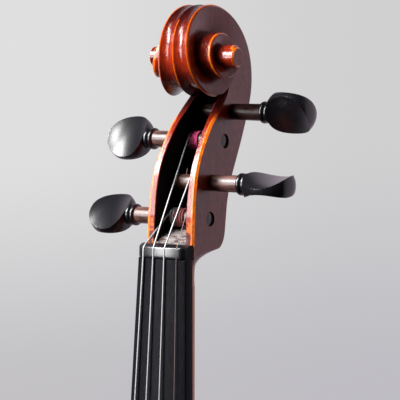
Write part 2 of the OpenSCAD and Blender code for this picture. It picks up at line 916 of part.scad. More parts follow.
module peg(i) {
  p = pegs[i];
  l = p[3] + peg_reach(p);
  in_neck()
    on_peg(p) {
      translate([0, 0, -l])
        cylinder(r1 = peg_r - l / 60, r2 = peg_r, h = l + 0.5);
      for (z = [0, 2.2])
        translate([0, 0, z])
          rotate_extrude()
            polygon([[0, 0], [collar_r - 0.6, 0], [collar_r, 0.6], [collar_r, 1.4],
              [collar_r - 0.6, 2], [0, 2]]);
      translate([0, 0, 1.9])
        cylinder(r = collar_r - 0.7, h = 0.4);
      rotate([0, 0, pegs[i][0] * peg_turn[i]])
        peg_head(head_l + head_extra[i]);
    }
}

// Round bulb with a hollow face cut on each side
module peg_head(long) {
  difference() {
    translate([0, 0, collar_l - 0.2])
      rotate_extrude()
        polygon(concat([[0, 0], [collar_r - 0.7, 0]],
          [for (k = [1:8])
            bezier([[collar_r - 0.7, 0], [head_r * 1.03, 0.8], [head_r * 1.19, long * 0.7],
              [head_r * 0.5, long * 0.94]], k / 8)],
          [[head_r * 0.24, long + 0.05], [0, long + 0.2]]));
    for (s = [1, -1])
      translate([s * (head_half_t + dish_r), 0, collar_l + long * dish_at])
        rotate([90, 0, 0])
          cylinder(r = dish_r, h = 60, center = true, $fn = 120);
  }
}

module peg_g() {
  color(ebony)
    peg(0);
}

module peg_d() {
  color(ebony)
    peg(1);
}

module peg_a() {
  color(ebony)
    peg(2);
}

module peg_e() {
  color(ebony)
    peg(3);
}

// Turns of string on each peg: near end and length, from the middle toward the head
turns_from = [-0.6, 1.2, 1.4, 2.2];
turns_long = [7.6, 5.2, 3.7, 5];
string_d = [g_d, d_d, a_d, e_d];
function string_r(i) = string_d[i] / 2;
function turns_r(i) = peg_r + 2 * string_d[i];

module winding(i) {
  p = pegs[i];
  in_neck()
    on_peg(p)
      translate([0, 0, turns_from[i] - p[3]])
        difference() {
          cylinder(r = turns_r(i) - 0.3, h = turns_long[i]);
          translate([0, 0, -1])
            cylinder(
              r1 = peg_r - (p[3] - turns_from[i] + 1) / 60 + 0.02,
              r2 = peg_r - (p[3] - turns_from[i] - turns_long[i] - 1) / 60 + 0.02,
              h = turns_long[i] + 2);
        }
}

module winding_g() {
  color(silk)
    winding(0);
}

module winding_d() {
  color(silk)
    winding(1);
}

module winding_a() {
  color(silk)
    winding(2);
}

module winding_e() {
  color(steel)
    winding(3);
}

// Strings: from the winding over the nut and the bridge to the tailpiece
function nut_x(i) = nut_spread * (i / 3 - 0.5);
function nut_y(i) = -(board_middle(0) - crown(abs(nut_x(i))) + 0.35 + string_r(i));
function bridge_x(i) = bridge_spread * (i / 3 - 0.5);
board_line = bridge_z / cos(neck_tilt);
bridge_n = -(board_middle(board_line) + string_height);
bridge_top = bridge_n * cos(neck_tilt)
  + (bridge_z + bridge_n * sin(neck_tilt)) * tan(neck_tilt);
function bridge_y(i) = bridge_top + crown(abs(bridge_x(i))) - string_r(i) * 0.4;

// Point where a string leaves its winding, on the front of the peg
function leave(i) =
  let(p = pegs[i], from = [nut_y(i), nut_bend], to = [p[1], p[2]], r = turns_r(i) + free)
  let(d = norm(to - from), a = atan2(to[0] - from[0], to[1] - from[1]) - asin(r / d))
  let(l = sqrt(d * d - r * r))
  [p[0] * (turns_from[i] + turns_long[i] * (i < 2 ? 0.96 : 0.5)),
    from[0] + l * sin(a), from[1] + l * cos(a)];

module string(i) {
  x = nut_x(i);
  cord([
    shared(leave(i)),
    shared([x, nut_y(i), nut_bend]),
    shared([x, nut_y(i), 0]),
    [bridge_x(i), bridge_y(i), bridge_z],
    in_tail([tail_x(i), -string_r(i) - 0.05, 2.5]),
    in_tail([tail_x(i), -string_r(i) - 0.05 + (i == 3 ? 0 : 1.2), i == 3 ? -2.7 : -9])
  ], string_r(i));
}

module string_g() {
  color(steel)
    string(0);
}

module string_d() {
  color(steel)
    string(1);
}

module string_a() {
  color(steel)
    string(2);
}

module string_e() {
  color(steel)
    string(3);
}

// Bridge, cut to the arch under its feet
function bridge_h(x) = rib_front - arch(x, bridge_v, top_arch) - glue * 3;
module bridge() {
  t = bridge_top;
  f = rib_front - top_arch;
  w = bridge_w / 2;
  r = board_r;
  half_shape = concat(
    [[0, f - 10], [4, f - 9.6], [7.4, f - 7.4], [w - 10.6, f - 3.4]],
    [for (k = [0:6]) let(x = lerp(w - 11.5, w, k / 6)) [x, bridge_h(x)]],
    [[w, f - 1.8], [w - 4, f - 3.6], [w - 5.8, f - 7], [w - 5.6, f - 11.6], [w - 9.4, f - 12.8],
      [w - 10.2, f - 15], [w - 8.4, f - 16.6], [w - 4.4, f - 15.4], [w - 1, f - 16.6],
      [w - 0.6, f - 19.5], [w - 2.6, lerp(f, t, 0.78)]],
    [for (k = [6:-1:0]) let(x = (bridge_spread / 2 + 2) * k / 6) [x, t + crown(x)]]
  );
  color(maple)
    difference() {
      translate([0, 0, bridge_z - bridge_foot_t / 2])
        linear_extrude(height = bridge_foot_t)
          polygon(concat(half_shape, flip([for (p = half_shape) [-p[0], p[1]]])));
      for (s = [1, -1])
        translate([0, t, bridge_z + s * bridge_top_t / 2])
          rotate([s * atan((bridge_foot_t - bridge_top_t) / 2 / (f - t)), 0, 0])
            translate([-40, -20, s > 0 ? 0 : -10])
              cube([80, f - t + 40, 10]);
      for (s = [1, -1])
        translate([s * 2.3, lerp(f, t, 0.64), bridge_z - 5])
          cylinder(r = 2.5, h = 10);
      translate([0, lerp(f, t, 0.52), bridge_z - 5])
        cylinder(r = 1.7, h = 10);
      for (i = [0:3])
        translate([bridge_x(i), bridge_y(i), bridge_z - 5])
          cylinder(r = string_r(i) + 0.25, h = 10, $fn = 24);
    }
}

// Saddle let into the edge of the front
module saddle() {
  color(ebony)
    saddle_block();
}

// Tailpiece frame: origin on the string end, Z up along the strings, -Y out
saddle_top = front_edge - saddle_h;
tail_from = [0, bridge_top + 1.5, bridge_z];
tail_to = [0, saddle_top - loop_d - 1.5, body_foot + saddle_l];
tail_lean = atan2(tail_to[1] - tail_from[1], tail_from[2] - tail_to[2]);
tail_at = tail_to + (tail_gap + tail_length) * unit(tail_from - tail_to);
function in_tail(p) = [
  p[0],
  tail_at[1] + p[1] * cos(tail_lean) - p[2] * sin(tail_lean),
  tail_at[2] + p[1] * sin(tail_lean) + p[2] * cos(tail_lean)
];
function tail_x(i) = bridge_spread * 0.9 * (i / 3 - 0.5);

module on_tail() {
  translate(tail_at)
    rotate([tail_lean, 0, 0])
      children();
}

tail_r = 38;
module tailpiece() {
  side = joined(
    curve([[0, 4.2], [tail_w * 0.25, 4.2], [tail_w / 2 - 1, 2], [tail_w / 2, -2]], 6),
    joined(
      curve([[tail_w / 2, -2], [tail_w / 2 + 0.3, -18], [tail_end_w / 2 + 3, -40],
        [tail_end_w / 2 + 2, -64]], 8),
      curve([[tail_end_w / 2 + 2, -64], [tail_end_w / 2 + 0.6, -80],
        [tail_end_w / 2, -90], [tail_end_w / 2, 4.2 - tail_length]], 4)));
  color(ebony)
    on_tail()
      difference() {
        intersection() {
          rotate([90, 0, 0])
            translate([0, 0, -12])
              linear_extrude(height = 24)
                polygon(concat(side, flip([for (p = side) [-p[0], p[1]]])));
          translate([0, tail_r + 0.4, -tail_length - 5])
            cylinder(r = tail_r, h = tail_length + 20, $fn = 160);
          translate([-40, -5, -tail_length])
            cube([80, 13.5, tail_length + 10]);
        }
        translate([0, tail_r + 0.4, -tail_length + 14])
          cylinder(r = tail_r - 4, h = tail_length - 22, $fn = 160);
        for (i = [0:2])
          translate([tail_x(i), 0, -9])
            rotate([90, 0, 0])
              cylinder(r = 2.4, h = 40, center = true);
        for (i = [0:2])
          translate([tail_x(i) - 0.7, -10, -9])
            cube([1.4, 30, 8]);
        for (i = [0:2])
          translate([tail_x(i), 0.6, 0])
            cylinder(r = string_r(i) + 0.9, h = 30, center = true);
        for (s = [1, -1])
          translate([s * 4.5, loop_y, -tail_length])
            cylinder(r = loop_d / 2 + 0.1, h = 60, center = true);
      }
}

// Loop from the tailpiece over the saddle and round the end button
loop_y = 4.6;
knob_y = (rib_front + rib_back) / 2;
loop_r = shank_r + loop_d / 2 + 0.6;
loop_z = body_foot + overhang - loop_d / 2 - 1;
module tail_loop() {
  edge_y = saddle_top - loop_d / 2 - 0.1;
  low = body_foot - loop_d / 2 - 0.4;
  side = [
    in_tail([4.5, loop_y, -tail_length + 24]),
    in_tail([4.5, loop_y, -tail_length + 2]),
    [4.6, edge_y, body_foot + saddle_l - 2],
    [4.7, edge_y + 0.1, body_foot + 3],
    [4.8, edge_y + 1.1, body_foot + 0.2],
    [4.9, edge_y + 4, low],
    [loop_r, front_edge + 6, low + 0.3],
    [loop_r, knob_y - 4, loop_z]
  ];
  bend = [for (k = [0:12]) [
    loop_r * cos(180 * k / 12),
    knob_y + loop_r * sin(180 * k / 12),
    loop_z
  ]];
  color(ebony)
    cord(concat(side, bend, flip([for (p = side) [-p[0], p[1], p[2]]])), loop_d / 2, 8);
}

// End button: tapered shank in the lower block, groove for the loop, round head
module shank_bore() {
  translate([0, knob_y, body_foot + overhang - 1])
    cylinder(r1 = shank_r + 0.02 + 1 / 30, r2 = shank_r + 0.02 - 24 / 30, h = 25);
}

module end_button() {
  groove_l = loop_d + 1.4;
  color(ebony)
    translate([0, knob_y, body_foot + overhang])
      rotate_extrude()
        polygon(concat(
          [[0, 22], [shank_r - 22 / 30, 22], [shank_r, 0], [shank_r + 0.4, 0],
            [shank_r + 0.4, -groove_l], [knob_r - 0.8, -groove_l - 0.2], [knob_r, -groove_l - 1],
            [knob_r, -groove_l - knob_l + 3]],
          [for (k = [1:5]) [
            knob_r - 3 + 3 * cos(18 * k),
            -groove_l - knob_l + 3 - 3 * sin(18 * k)
          ]],
          [[0, -groove_l - knob_l]]));
}

// Fine tuner for the E string, on top of the tailpiece
tuner_x = tail_x(3);
tuner_y = 0.4 + crown_of(tail_r, tuner_x - 3.5) - 0.1;
pivot_y = tuner_y - 3.4;
pivot_z = -4;
screw_z = -16;
screw_r = 1.2;
pin_r = 0.75;
turn_clear = 0.05;
module tuner_frame() {
  color(steel)
    on_tail()
      difference() {
        union() {
          translate([tuner_x - 3.5, tuner_y - 1, -20])
            cube([7, 1, 20.5]);
          for (s = [-1, 1])
            translate([tuner_x + s * 3 - 0.5, pivot_y - 1.4, pivot_z - 2])
              cube([1, tuner_y - pivot_y + 1.3, 4]);
          for (s = [-1, 1])
            translate([tuner_x + s * 3 - 0.5, tuner_y - 8, screw_z - 3])
              cube([1, 7.5, 6]);
          translate([tuner_x - 3.5, tuner_y - 9, screw_z - 3])
            cube([7, 1.6, 6]);
        }
        translate([tuner_x, tuner_y - 4, screw_z])
          rotate([90, 0, 0])
            cylinder(r = screw_r + turn_clear, h = 20);
        translate([tuner_x - 5, pivot_y, pivot_z])
          rotate([0, 90, 0])
            cylinder(r = pin_r + turn_clear, h = 10);
      }
}

// Lever: pin, arm under the screw, and the hook that holds the string
module tuner_lever() {
  color(steel)
    on_tail()
      union() {
        translate([tuner_x - 3.5, pivot_y, pivot_z])
          rotate([0, 90, 0])
            cylinder(r = pin_r, h = 7);
        translate([tuner_x - 1.8, pivot_y - 0.7, -18.5])
          cube([3.6, 1.4, 14.5]);
        translate([tuner_x - 1.8, -1.6, pivot_z - 0.7])
          cube([3.6, pivot_y + 1.6, 1.4]);
      }
}

// Screw that bears on the lever's arm, and the knob that turns with it
screw_tip = pivot_y - 0.7 - 0.2;
knob_at = tuner_y - 11;
module tuner_screw() {
  color(steel)
    on_tail()
      translate([tuner_x, screw_tip, screw_z])
        rotate([90, 0, 0])
          rotate_extrude()
            polygon([[0, 0], [0.5, 0], [screw_r, 1], [screw_r, screw_tip - knob_at + 3.5],
              [0, screw_tip - knob_at + 3.5]]);
}

module tuner_knob() {
  color(steel)
    on_tail()
      translate([tuner_x, knob_at, screw_z])
        rotate([90, 0, 0])
          difference() {
            cylinder(r = 4, h = 3.5);
            translate([0, 0, -1])
              cylinder(r = screw_r + turn_clear, h = 6);
            for (k = [0:11])
              rotate([0, 0, 30 * k])
                translate([4.3, 0, -1])
                  cylinder(r = 0.6, h = 6);
          }
}

neck();
nut();
fingerboard();
peg_g();
peg_d();
peg_a();
peg_e();
winding_g();
winding_d();
winding_a();
winding_e();
string_g();
string_d();
string_a();
string_e();
top_plate();
back_plate();
rib_upper_bass();
rib_upper_treble();
rib_middle_bass();
rib_middle_treble();
rib_lower_bass();
rib_lower_treble();
upper_block();
lower_block();
block_upper_bass();
block_upper_treble();
block_lower_bass();
block_lower_treble();
linings_front();
linings_back();
bass_bar();
sound_post();
bridge();
saddle();
tailpiece();
tail_loop();
end_button();
tuner_frame();
tuner_lever();
tuner_screw();
tuner_knob();
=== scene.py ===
"""A violin: carved head, pegs, strings, arched body and fittings, modelled over its frame."""

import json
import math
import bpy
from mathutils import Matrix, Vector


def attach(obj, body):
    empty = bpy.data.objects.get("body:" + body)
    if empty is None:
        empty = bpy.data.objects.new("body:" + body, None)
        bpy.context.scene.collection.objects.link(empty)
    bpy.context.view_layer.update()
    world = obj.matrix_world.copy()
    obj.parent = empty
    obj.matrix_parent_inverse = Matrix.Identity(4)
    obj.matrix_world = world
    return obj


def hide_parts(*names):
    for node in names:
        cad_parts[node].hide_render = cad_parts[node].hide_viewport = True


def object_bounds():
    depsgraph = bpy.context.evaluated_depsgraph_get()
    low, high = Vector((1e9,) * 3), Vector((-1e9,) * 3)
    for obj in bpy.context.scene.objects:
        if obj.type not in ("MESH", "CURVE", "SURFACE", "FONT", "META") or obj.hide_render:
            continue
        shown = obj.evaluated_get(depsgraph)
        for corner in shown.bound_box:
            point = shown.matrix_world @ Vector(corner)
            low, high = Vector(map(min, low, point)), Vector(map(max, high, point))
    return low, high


bl_info = {
    "name": "Violin",
    "version": (1, 0, 0),
    "blender": (4, 5, 0),
    "location": "View3D > Sidebar > Violin",
    "description": "Models the carved head, pegs, strings, body and fittings of a violin",
    "category": "Object",
}

from types import SimpleNamespace

import bmesh
import bpy
from mathutils import Matrix, Vector
from mathutils.kdtree import KDTree

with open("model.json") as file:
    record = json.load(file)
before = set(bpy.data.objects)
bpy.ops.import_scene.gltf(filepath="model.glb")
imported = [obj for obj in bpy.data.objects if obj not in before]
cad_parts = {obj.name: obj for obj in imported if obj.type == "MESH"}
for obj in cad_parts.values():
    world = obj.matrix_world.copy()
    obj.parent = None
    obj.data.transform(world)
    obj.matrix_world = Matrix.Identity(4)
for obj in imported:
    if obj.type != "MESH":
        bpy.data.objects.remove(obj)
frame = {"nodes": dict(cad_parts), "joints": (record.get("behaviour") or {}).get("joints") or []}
CAD_BOX = [list(corner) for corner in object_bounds()]
MM = 0.001
TO_METRES = Matrix.Scale(MM, 4)
# Turns what is drawn upwards to lie forwards
LAID = Matrix.Rotation(math.pi / 2, 4, "X")
ABOUT_Z = {"cent": (0, 0, 0), "axis": (0, 0, 1)}
STRINGS = ("g", "d", "a", "e")


# Sizes and colours that a user would change


def length(name, description, default):
    """A size, given in millimetres and kept in metres."""
    return bpy.props.FloatProperty(
        name=name, description=description, default=default * MM, unit="LENGTH", precision=4
    )


def colour(name, description, default):
    """A colour in linear light."""
    return bpy.props.FloatVectorProperty(
        name=name, description=description, default=default, subtype="COLOR", min=0, max=1
    )


class ViolinHead(bpy.types.PropertyGroup):
    """Sizes of the neck, the pegbox and the scroll"""

    tilt: bpy.props.FloatProperty(
        name="Neck tilt",
        description="Angle that the neck leans back from the body",
        default=math.radians(6.5),
        subtype="ANGLE",
    )
    nut_width: length("Nut width", "Width of the neck at the nut", 24.0)
    chamfer: length("Chamfer", "Width of the chamfers along the carved edges", 0.85)
    flute: length("Flute depth", "Depth of the two flutes along the back of the scroll", 1.35)
    bed: length("Bed depth", "How far the beds of the scroll are hollowed", 2.0)
    eye_out: length("Eye reach", "Half the distance between the two eyes", 21.0)
    eye_radius: length("Eye radius", "Radius of the eyes", 4.3)
    neck_length: length("Neck length", "Length of the neck from the nut to the body", 130.0)
    neck_depth: length("Neck depth", "Depth of the wood behind the nut", 12.6)


class ViolinPegs(bpy.types.PropertyGroup):
    """Sizes of the pegs and of the string on them"""

    shaft_radius: length("Shaft radius", "Radius of the shaft at the collar", 3.7)
    collar_radius: length("Collar radius", "Radius of the collar rings", 4.75)
    collar_length: length("Collar length", "Length of the collar", 4.3)
    head_length: length("Head length", "Length of the heads past the collar", 20.0)
    head_radius: length("Head radius", "Radius of the head across its faces", 11.2)
    waist: length("Waist", "Half the thickness where the faces dip", 2.2)
    dish_radius: length("Dish radius", "Radius of the hollow in each face", 24.0)
    face_swell: length("Face swell", "Radius of the slight swell across each face", 60.0)
    bass_collar: length("Bass collar", "Distance of the bass collars from the middle", 25.6)
    treble_collar: length("Treble collar", "Distance of the treble collars from the middle", 25.0)


class ViolinBody(bpy.types.PropertyGroup):
    """Sizes of the body"""

    body_length: length("Body length", "Length of the body without the button", 356.0)
    upper_width: length("Upper width", "Width across the upper bouts", 168.0)
    middle_width: length("Middle width", "Width across the waist", 111.0)
    lower_width: length("Lower width", "Width across the lower bouts", 208.0)
    rib_height: length("Rib height", "Height of the ribs between the plates", 30.5)
    rib: length("Rib", "Thickness of the ribs", 1.1)
    overhang: length("Overhang", "How far the plates reach past the ribs", 2.8)
    edge: length("Edge", "Thickness of the plates at their edge", 4.0)
    top_arch: length("Front arch", "Height of the front arch over its glued face", 16.0)
    back_arch: length("Back arch", "Height of the back arch over its glued face", 15.5)
    overstand: length("Overstand", "Height of the neck over the front edge", 6.5)
    stop: length("Stop", "Distance from the top of the body to the bridge", 195.0)
    tenon: length("Tenon", "How far the foot of the neck is let into the body", 6.0)
    button: length("Button", "Radius of the button at the top of the back", 10.5)


class ViolinBoard(bpy.types.PropertyGroup):
    """Sizes of the fingerboard, the nut and the strings"""

    board_length: length("Board length", "Length of the fingerboard", 270.0)
    board_end: length("Board end", "Width of the fingerboard at its free end", 42.0)
    board_radius: length("Board radius", "Radius of the playing surface", 42.0)
    board_edge: length("Board edge", "Thickness of the fingerboard at its long edges", 5.5)
    nut_length: length("Nut length", "Length of the nut along the neck", 6.0)
    nut_rise: length("Nut rise", "How far the nut stands over the fingerboard", 0.7)
    nut_spread: length("Nut spread", "Distance between the outer strings at the nut", 16.5)
    bridge_spread: length("Bridge spread", "Distance between the outer strings at the bridge", 33.5)
    string_height: length("String height", "Height of the strings over the board at the bridge", 5.0)
    g_width: length("G string", "Diameter of the G string", 0.82)
    d_width: length("D string", "Diameter of the D string", 0.76)
    a_width: length("A string", "Diameter of the A string", 0.68)
    e_width: length("E string", "Diameter of the E string", 0.28)


class ViolinFittings(bpy.types.PropertyGroup):
    """Sizes of the bridge, the tailpiece and the pieces at the lower end"""

    bridge_width: length("Bridge width", "Width across the feet of the bridge", 41.5)
    bridge_foot: length("Bridge foot", "Thickness of the bridge at its feet", 4.5)
    bridge_top: length("Bridge top", "Thickness of the bridge at its top", 1.4)
    tail_gap: length("Tail gap", "Distance between the tailpiece and the saddle", 2.0)
    tail_length: length("Tail length", "Length of the tailpiece", 104.0)
    tail_width: length("Tail width", "Width of the tailpiece at the string end", 42.0)
    tail_end: length("Tail end", "Width of the tailpiece at the loop end", 22.0)
    loop_width: length("Loop", "Diameter of the loop that holds the tailpiece", 2.0)
    saddle_width: length("Saddle width", "Width of the saddle", 34.0)
    saddle_depth: length("Saddle depth", "Depth of the saddle along the body", 7.0)
    saddle_height: length("Saddle height", "Height of the saddle over the front edge", 5.0)
    knob_radius: length("Knob radius", "Radius of the end button", 7.0)
    knob_length: length("Knob length", "Length of the end button past its groove", 7.5)
    shank_radius: length("Shank radius", "Radius of the end button's shank at the ribs", 4.0)


class ViolinFinish(bpy.types.PropertyGroup):
    """Colours of the finishes"""

    varnish: colour("Varnish", "Red-brown of the varnish", (0.4, 0.026, 0.003))
    varnish_dark: colour("Dark varnish", "Varnish where it lies thick", (0.075, 0.005, 0.003))
    # Painted shade: a near-black varnish laid where the head should fall into shade
    varnish_painted_shade: colour("Aged varnish", "Varnish that has gone nearly black", (0.03, 0.003, 0.003))
    worn: colour("Worn varnish", "Orange where the varnish is worn thin", (0.75, 0.125, 0.005))
    worn_pale: colour("Worn edge", "Yellow where an edge is worn through", (1.0, 0.24, 0.008))
    rubbed: colour("Rubbed varnish", "Cheek ends rubbed by the hand", (0.55, 0.1, 0.003))
    neck: colour("Neck", "Bare wood of the neck", (0.7, 0.33, 0.16))
    pegbox: colour("Pegbox", "Inside of the pegbox", (0.008, 0.005, 0.004))
    dust: colour("Dust", "Dust on the slope behind the nut", (0.24, 0.21, 0.205))
    ledge_dark: colour("Slope", "Wood of the slope under its dust", (0.09, 0.06, 0.05))
    ebony: colour("Ebony", "Black of the fingerboard and fittings", (0.007, 0.007, 0.0095))
    peg_shaft: colour("Peg shaft", "Brown of the bare peg shafts", (0.13, 0.06, 0.05))
    silk: colour("Silk", "Thread at the string ends", (0.85, 0.11, 0.28))
    silk_faded: colour("Faded silk", "Thread that has lost its colour", (0.3, 0.09, 0.09))
    wire: colour("Wire", "Wound strings", (0.39, 0.385, 0.4))
    plain_wire: colour("Plain wire", "Plain top string", (0.2, 0.15, 0.14))
    steel: colour("Steel", "Plated steel of the fine tuner", (0.6, 0.6, 0.62))
    bare_wood: colour("Bare wood", "Inner pieces and bridge", (0.62, 0.4, 0.19))
    spruce: colour("Spruce varnish", "Varnish over the front", (0.42, 0.075, 0.012))
    paper: colour("Floor", "Pale paper of the floor", (0.62, 0.62, 0.64))


def mm(value):
    """A property's metres as millimetres."""
    return value / MM


# Curves and tables


def lerp(a, b, t):
    return a + (b - a) * t


def smooth(t):
    t = min(max(t, 0.0), 1.0)
    return t * t * (3 - 2 * t)


def spread(first, last, count):
    return [lerp(first, last, k / (count - 1)) for k in range(count)]


def spline(knots, t):
    """A smooth curve through knots, where t counts knots."""
    i = min(max(int(math.floor(t)), 0), len(knots) - 2)
    u = t - i
    a, b = knots[max(i - 1, 0)], knots[i]
    c, d = knots[i + 1], knots[min(i + 2, len(knots) - 1)]
    bend = 2 * a - 5 * b + 4 * c - d + u * (3 * (b - c) + d - a)
    return b + 0.5 * u * (c - a + u * bend)


def lookup(table, key):
    """A value between the rows of a table of (key, value)."""
    for (k0, v0), (k1, v1) in zip(table, table[1:]):
        if key <= k1:
            return lerp(v0, v1, max(0.0, (key - k0) / (k1 - k0)))
    return table[-1][1]


def bezier(points, count):
    """Points along one cubic curve, both ends included."""
    a, b, c, d = (Vector(p) for p in points)
    made = []
    for t in spread(0, 1, count):
        s = 1 - t
        made.append(a * s**3 + b * (3 * s * s * t) + c * (3 * s * t * t) + d * t**3)
    return made


# Meshes


def patch(bm, rows):
    """Lays a grid over rows of points that all have the same count."""
    across, along = len(rows[0]) - 1, len(rows) - 1
    grid = bmesh.ops.create_grid(bm, x_segments=across, y_segments=along, size=1.0)
    for vert in grid["verts"]:
        i = round((vert.co.x + 1) / 2 * across)
        j = round((vert.co.y + 1) / 2 * along)
        vert.co = rows[j][i]


def close_up(bm, gap=0.002):
    """Welds patches along their shared edges, fills what is left open and turns faces outwards."""
    bmesh.ops.remove_doubles(bm, verts=bm.verts, dist=gap)
    open_edges = [edge for edge in bm.edges if edge.is_boundary]
    if open_edges:
        filled = bmesh.ops.holes_fill(bm, edges=open_edges, sides=0)["faces"]
        bmesh.ops.triangulate(bm, faces=filled)
    bmesh.ops.recalc_face_normals(bm, faces=bm.faces)


def tube(bm, rings):
    """A closed skin over closed rings of points."""
    patch(bm, [[*ring, ring[0]] for ring in rings])
    close_up(bm)


def turned(bm, profile, steps=64):
    """A solid turned about Z from a profile of (radius, height)."""
    verts = [bm.verts.new((r, 0, z)) for r, z in profile]
    edges = [bm.edges.new(pair) for pair in zip(verts, verts[1:])]
    bmesh.ops.spin(bm, geom=verts + edges, angle=math.tau, steps=steps, use_merge=True, **ABOUT_Z)
    close_up(bm)


def extruded(bm, outline, depth):
    """A flat outline in X and Y made solid along Z."""
    verts = [bm.verts.new((x, y, 0)) for x, y in outline]
    face = bm.faces.new(verts)
    top = bmesh.ops.extrude_face_region(bm, geom=[face])["geom"]
    raised = [item for item in top if isinstance(item, bmesh.types.BMVert)]
    bmesh.ops.translate(bm, verts=raised, vec=(0, 0, depth))
    bmesh.ops.recalc_face_normals(bm, faces=bm.faces)


def to_object(bm, name, place=Matrix()):
    """Ends a mesh drawn in millimetres as an object in metres at the origin."""
    bmesh.ops.transform(bm, matrix=TO_METRES @ place, verts=bm.verts)
    mesh = bpy.data.meshes.new(name)
    bm.to_mesh(mesh)
    bm.free()
    made = bpy.data.objects.new(name, mesh)
    bpy.context.scene.collection.objects.link(made)
    return made


def rod(name, radius, low, high, steps, place):
    """A plain round cutter along Z between two heights, put in its place."""
    bm = bmesh.new()
    turned(bm, [(0, low), (radius, low), (radius, high), (0, high)], steps)
    return to_object(bm, name, place)


def apply_modifiers(piece):
    """Replaces a piece's mesh with what its modifiers make of it."""
    graph = bpy.context.evaluated_depsgraph_get()
    mesh = bpy.data.meshes.new_from_object(piece.evaluated_get(graph))
    piece.modifiers.clear()
    old, piece.data = piece.data, mesh
    bpy.data.meshes.remove(old)
    mesh.name = piece.name


def combine(piece, tool, operation):
    """Cuts a piece with a tool, or joins the two, and deletes the tool."""
    modifier = piece.modifiers.new("combine", "BOOLEAN")
    modifier.operation = operation
    modifier.solver = "EXACT"
    modifier.object = tool
    apply_modifiers(piece)
    bpy.data.objects.remove(tool)
    if not piece.data.vertices:
        raise RuntimeError(f"{piece.name} came out empty")


def soften(piece, width, segments=2, angle=35):
    """Rounds the sharp edges of a piece."""
    modifier = piece.modifiers.new("soften", "BEVEL")
    modifier.width = width * MM
    modifier.segments = segments
    modifier.limit_method = "ANGLE"
    modifier.angle_limit = math.radians(angle)
    apply_modifiers(piece)


def dress(piece, materials):
    """Gives a piece its materials, unless it was cut with them."""
    if not piece.data.materials:
        for name in materials:
            piece.data.materials.append(bpy.data.materials[name])


def finish_piece(piece, materials, node, body="violin", sharp=38):
    """Gives a piece its materials and shading, and ties it to its body and CAD node."""
    dress(piece, materials)
    piece.data.shade_smooth()
    piece.data.set_sharp_from_angle(angle=math.radians(sharp))
    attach(piece, body)
    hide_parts(node)


def point_tree(points):
    """Finds the nearest of a list of points, which are in millimetres."""
    tree = KDTree(len(points))
    for i, point in enumerate(points):
        tree.insert(point * MM, i)
    tree.balance()
    return tree


def mark_wear(piece, edges):
    """Stores how near each point lies to the carved edges, each with its own reach."""
    tree = point_tree([point for point, _ in edges])
    layer = piece.data.attributes.new("wear", "FLOAT", "POINT")
    for i, vert in enumerate(piece.data.vertices):
        shares = [1 - distance / MM / edges[k][1] for _, k, distance in tree.find_n(vert.co, 6)]
        layer.data[i].value = max(0.0, *shares)


# Neck, pegbox and scroll, drawn in the neck's own frame: Y back, Z up from the nut


SCROLL_CENTRE = Vector((17.0, 85.2))
# Radius and half width of the scroll's band at each quarter turn, from half a turn before the back
SCROLL_RADII = (58, 44, 31.4, 22.1, 18.3, 16.7, 12.8, 10.2, 9.6, 9, 6.8, 5, 3.6, 3, 2.6, 2.4, 2.4)
SCROLL_HALVES = (
    13, 10.4, 8, 5, 7.75, 11.4, 12.2, 12.4, 13.3, 16.3, 18.3, 19.6, 20.4, 20.4, 20.4, 20.4, 20.4
)  # fmt: skip
# How much further the top and the second turn stand out on the bass side, as they were carved
BASS_TOP = 2.4
BASS_LEAN = 3.2
BASS_EYE = 1.0
# Turn at which the band runs in under the throat, and the turn at which it ends in the eye
THROAT_TURN = 0.93
LAST_TURN = THROAT_TURN + 1.5
TURN_STEPS = 80
# Share of the band's half width on which the front of the pegbox meets it
BAND_INNER = 0.7
BAND_OUTER = (1.0, 0.94, 0.87, 0.79)
INNER_COUNT = 17
# Points across each side between its soft edges
SIDE_COUNT = 9
# Height over the body at which the neck starts to curve out to its heel, and that curve's height
HEEL_RISE = 30.0
HEEL_CURVE = 26.0
HEEL_STEPS = 16
# Half the width of the neck where it meets the body
HEEL_HALF = 16.0


def coil(turn, inward=0.0):
    """A point on the scroll's spiral, as depth and height."""
    radius = spline(SCROLL_RADII, 2 + 4 * turn) - inward
    angle = math.tau * turn
    return SCROLL_CENTRE + radius * Vector((math.cos(angle), math.sin(angle)))


def coil_half(turn, side=1):
    """Half width of the band: the bass side was carved wider at the top and on the second turn."""
    half = spline(SCROLL_HALVES, 2 + 4 * turn)
    if side < 0:
        half += BASS_TOP * smooth((turn - 0.02) / 0.2) * (1 - smooth((turn - 0.3) / 0.22))
        half += BASS_LEAN * smooth((turn - 1.25) / 0.35) * (1 - smooth((turn - 1.75) / 0.4))
    return half


def pegbox_rows(chamfer):
    """Back depth, height and half width, then the same of the front edge, from the neck up."""
    back, front = coil(THROAT_TURN - 1), coil(THROAT_TURN)
    throat_half = BAND_INNER * (coil_half(THROAT_TURN) - chamfer) + chamfer
    rows = (
        (12.6, -9, 11.9, 0, -9, 12),
        (12.7, -4.5, 11.9, 0, -6, 12),
        (13.6, 0.2, 11.9, 0, -3, 12),
        (17.6, 2.9, 11.9, 0, 0, 12),
        (22.2, 4.7, 11.9, 0, 3, 12),
        (25, 8.8, 11.8, 0.1, 8, 12),
        (26.1, 16.5, 11.7, 0.1, 17, 11.9),
        (27.4, 24, 11.4, 1, 28, 11.7),
        (30.6, 33, 10.9, 3.4, 38.5, 11.25),
        (35.1, 41.5, 10.4, 8.3, 48, 10.75),
        (39.3, 48.8, 9.8, 13.9, 56.2, 10.5),
        (43.2, 56.6, 9.3, 21.5, 64, 10),
        (46.5, 63.6, 8.8, 27.6, 71, 9.2),
        (back.x, back.y, coil_half(THROAT_TURN - 1), front.x, front.y, throat_half),
    )
    return [Vector(row) for row in rows]


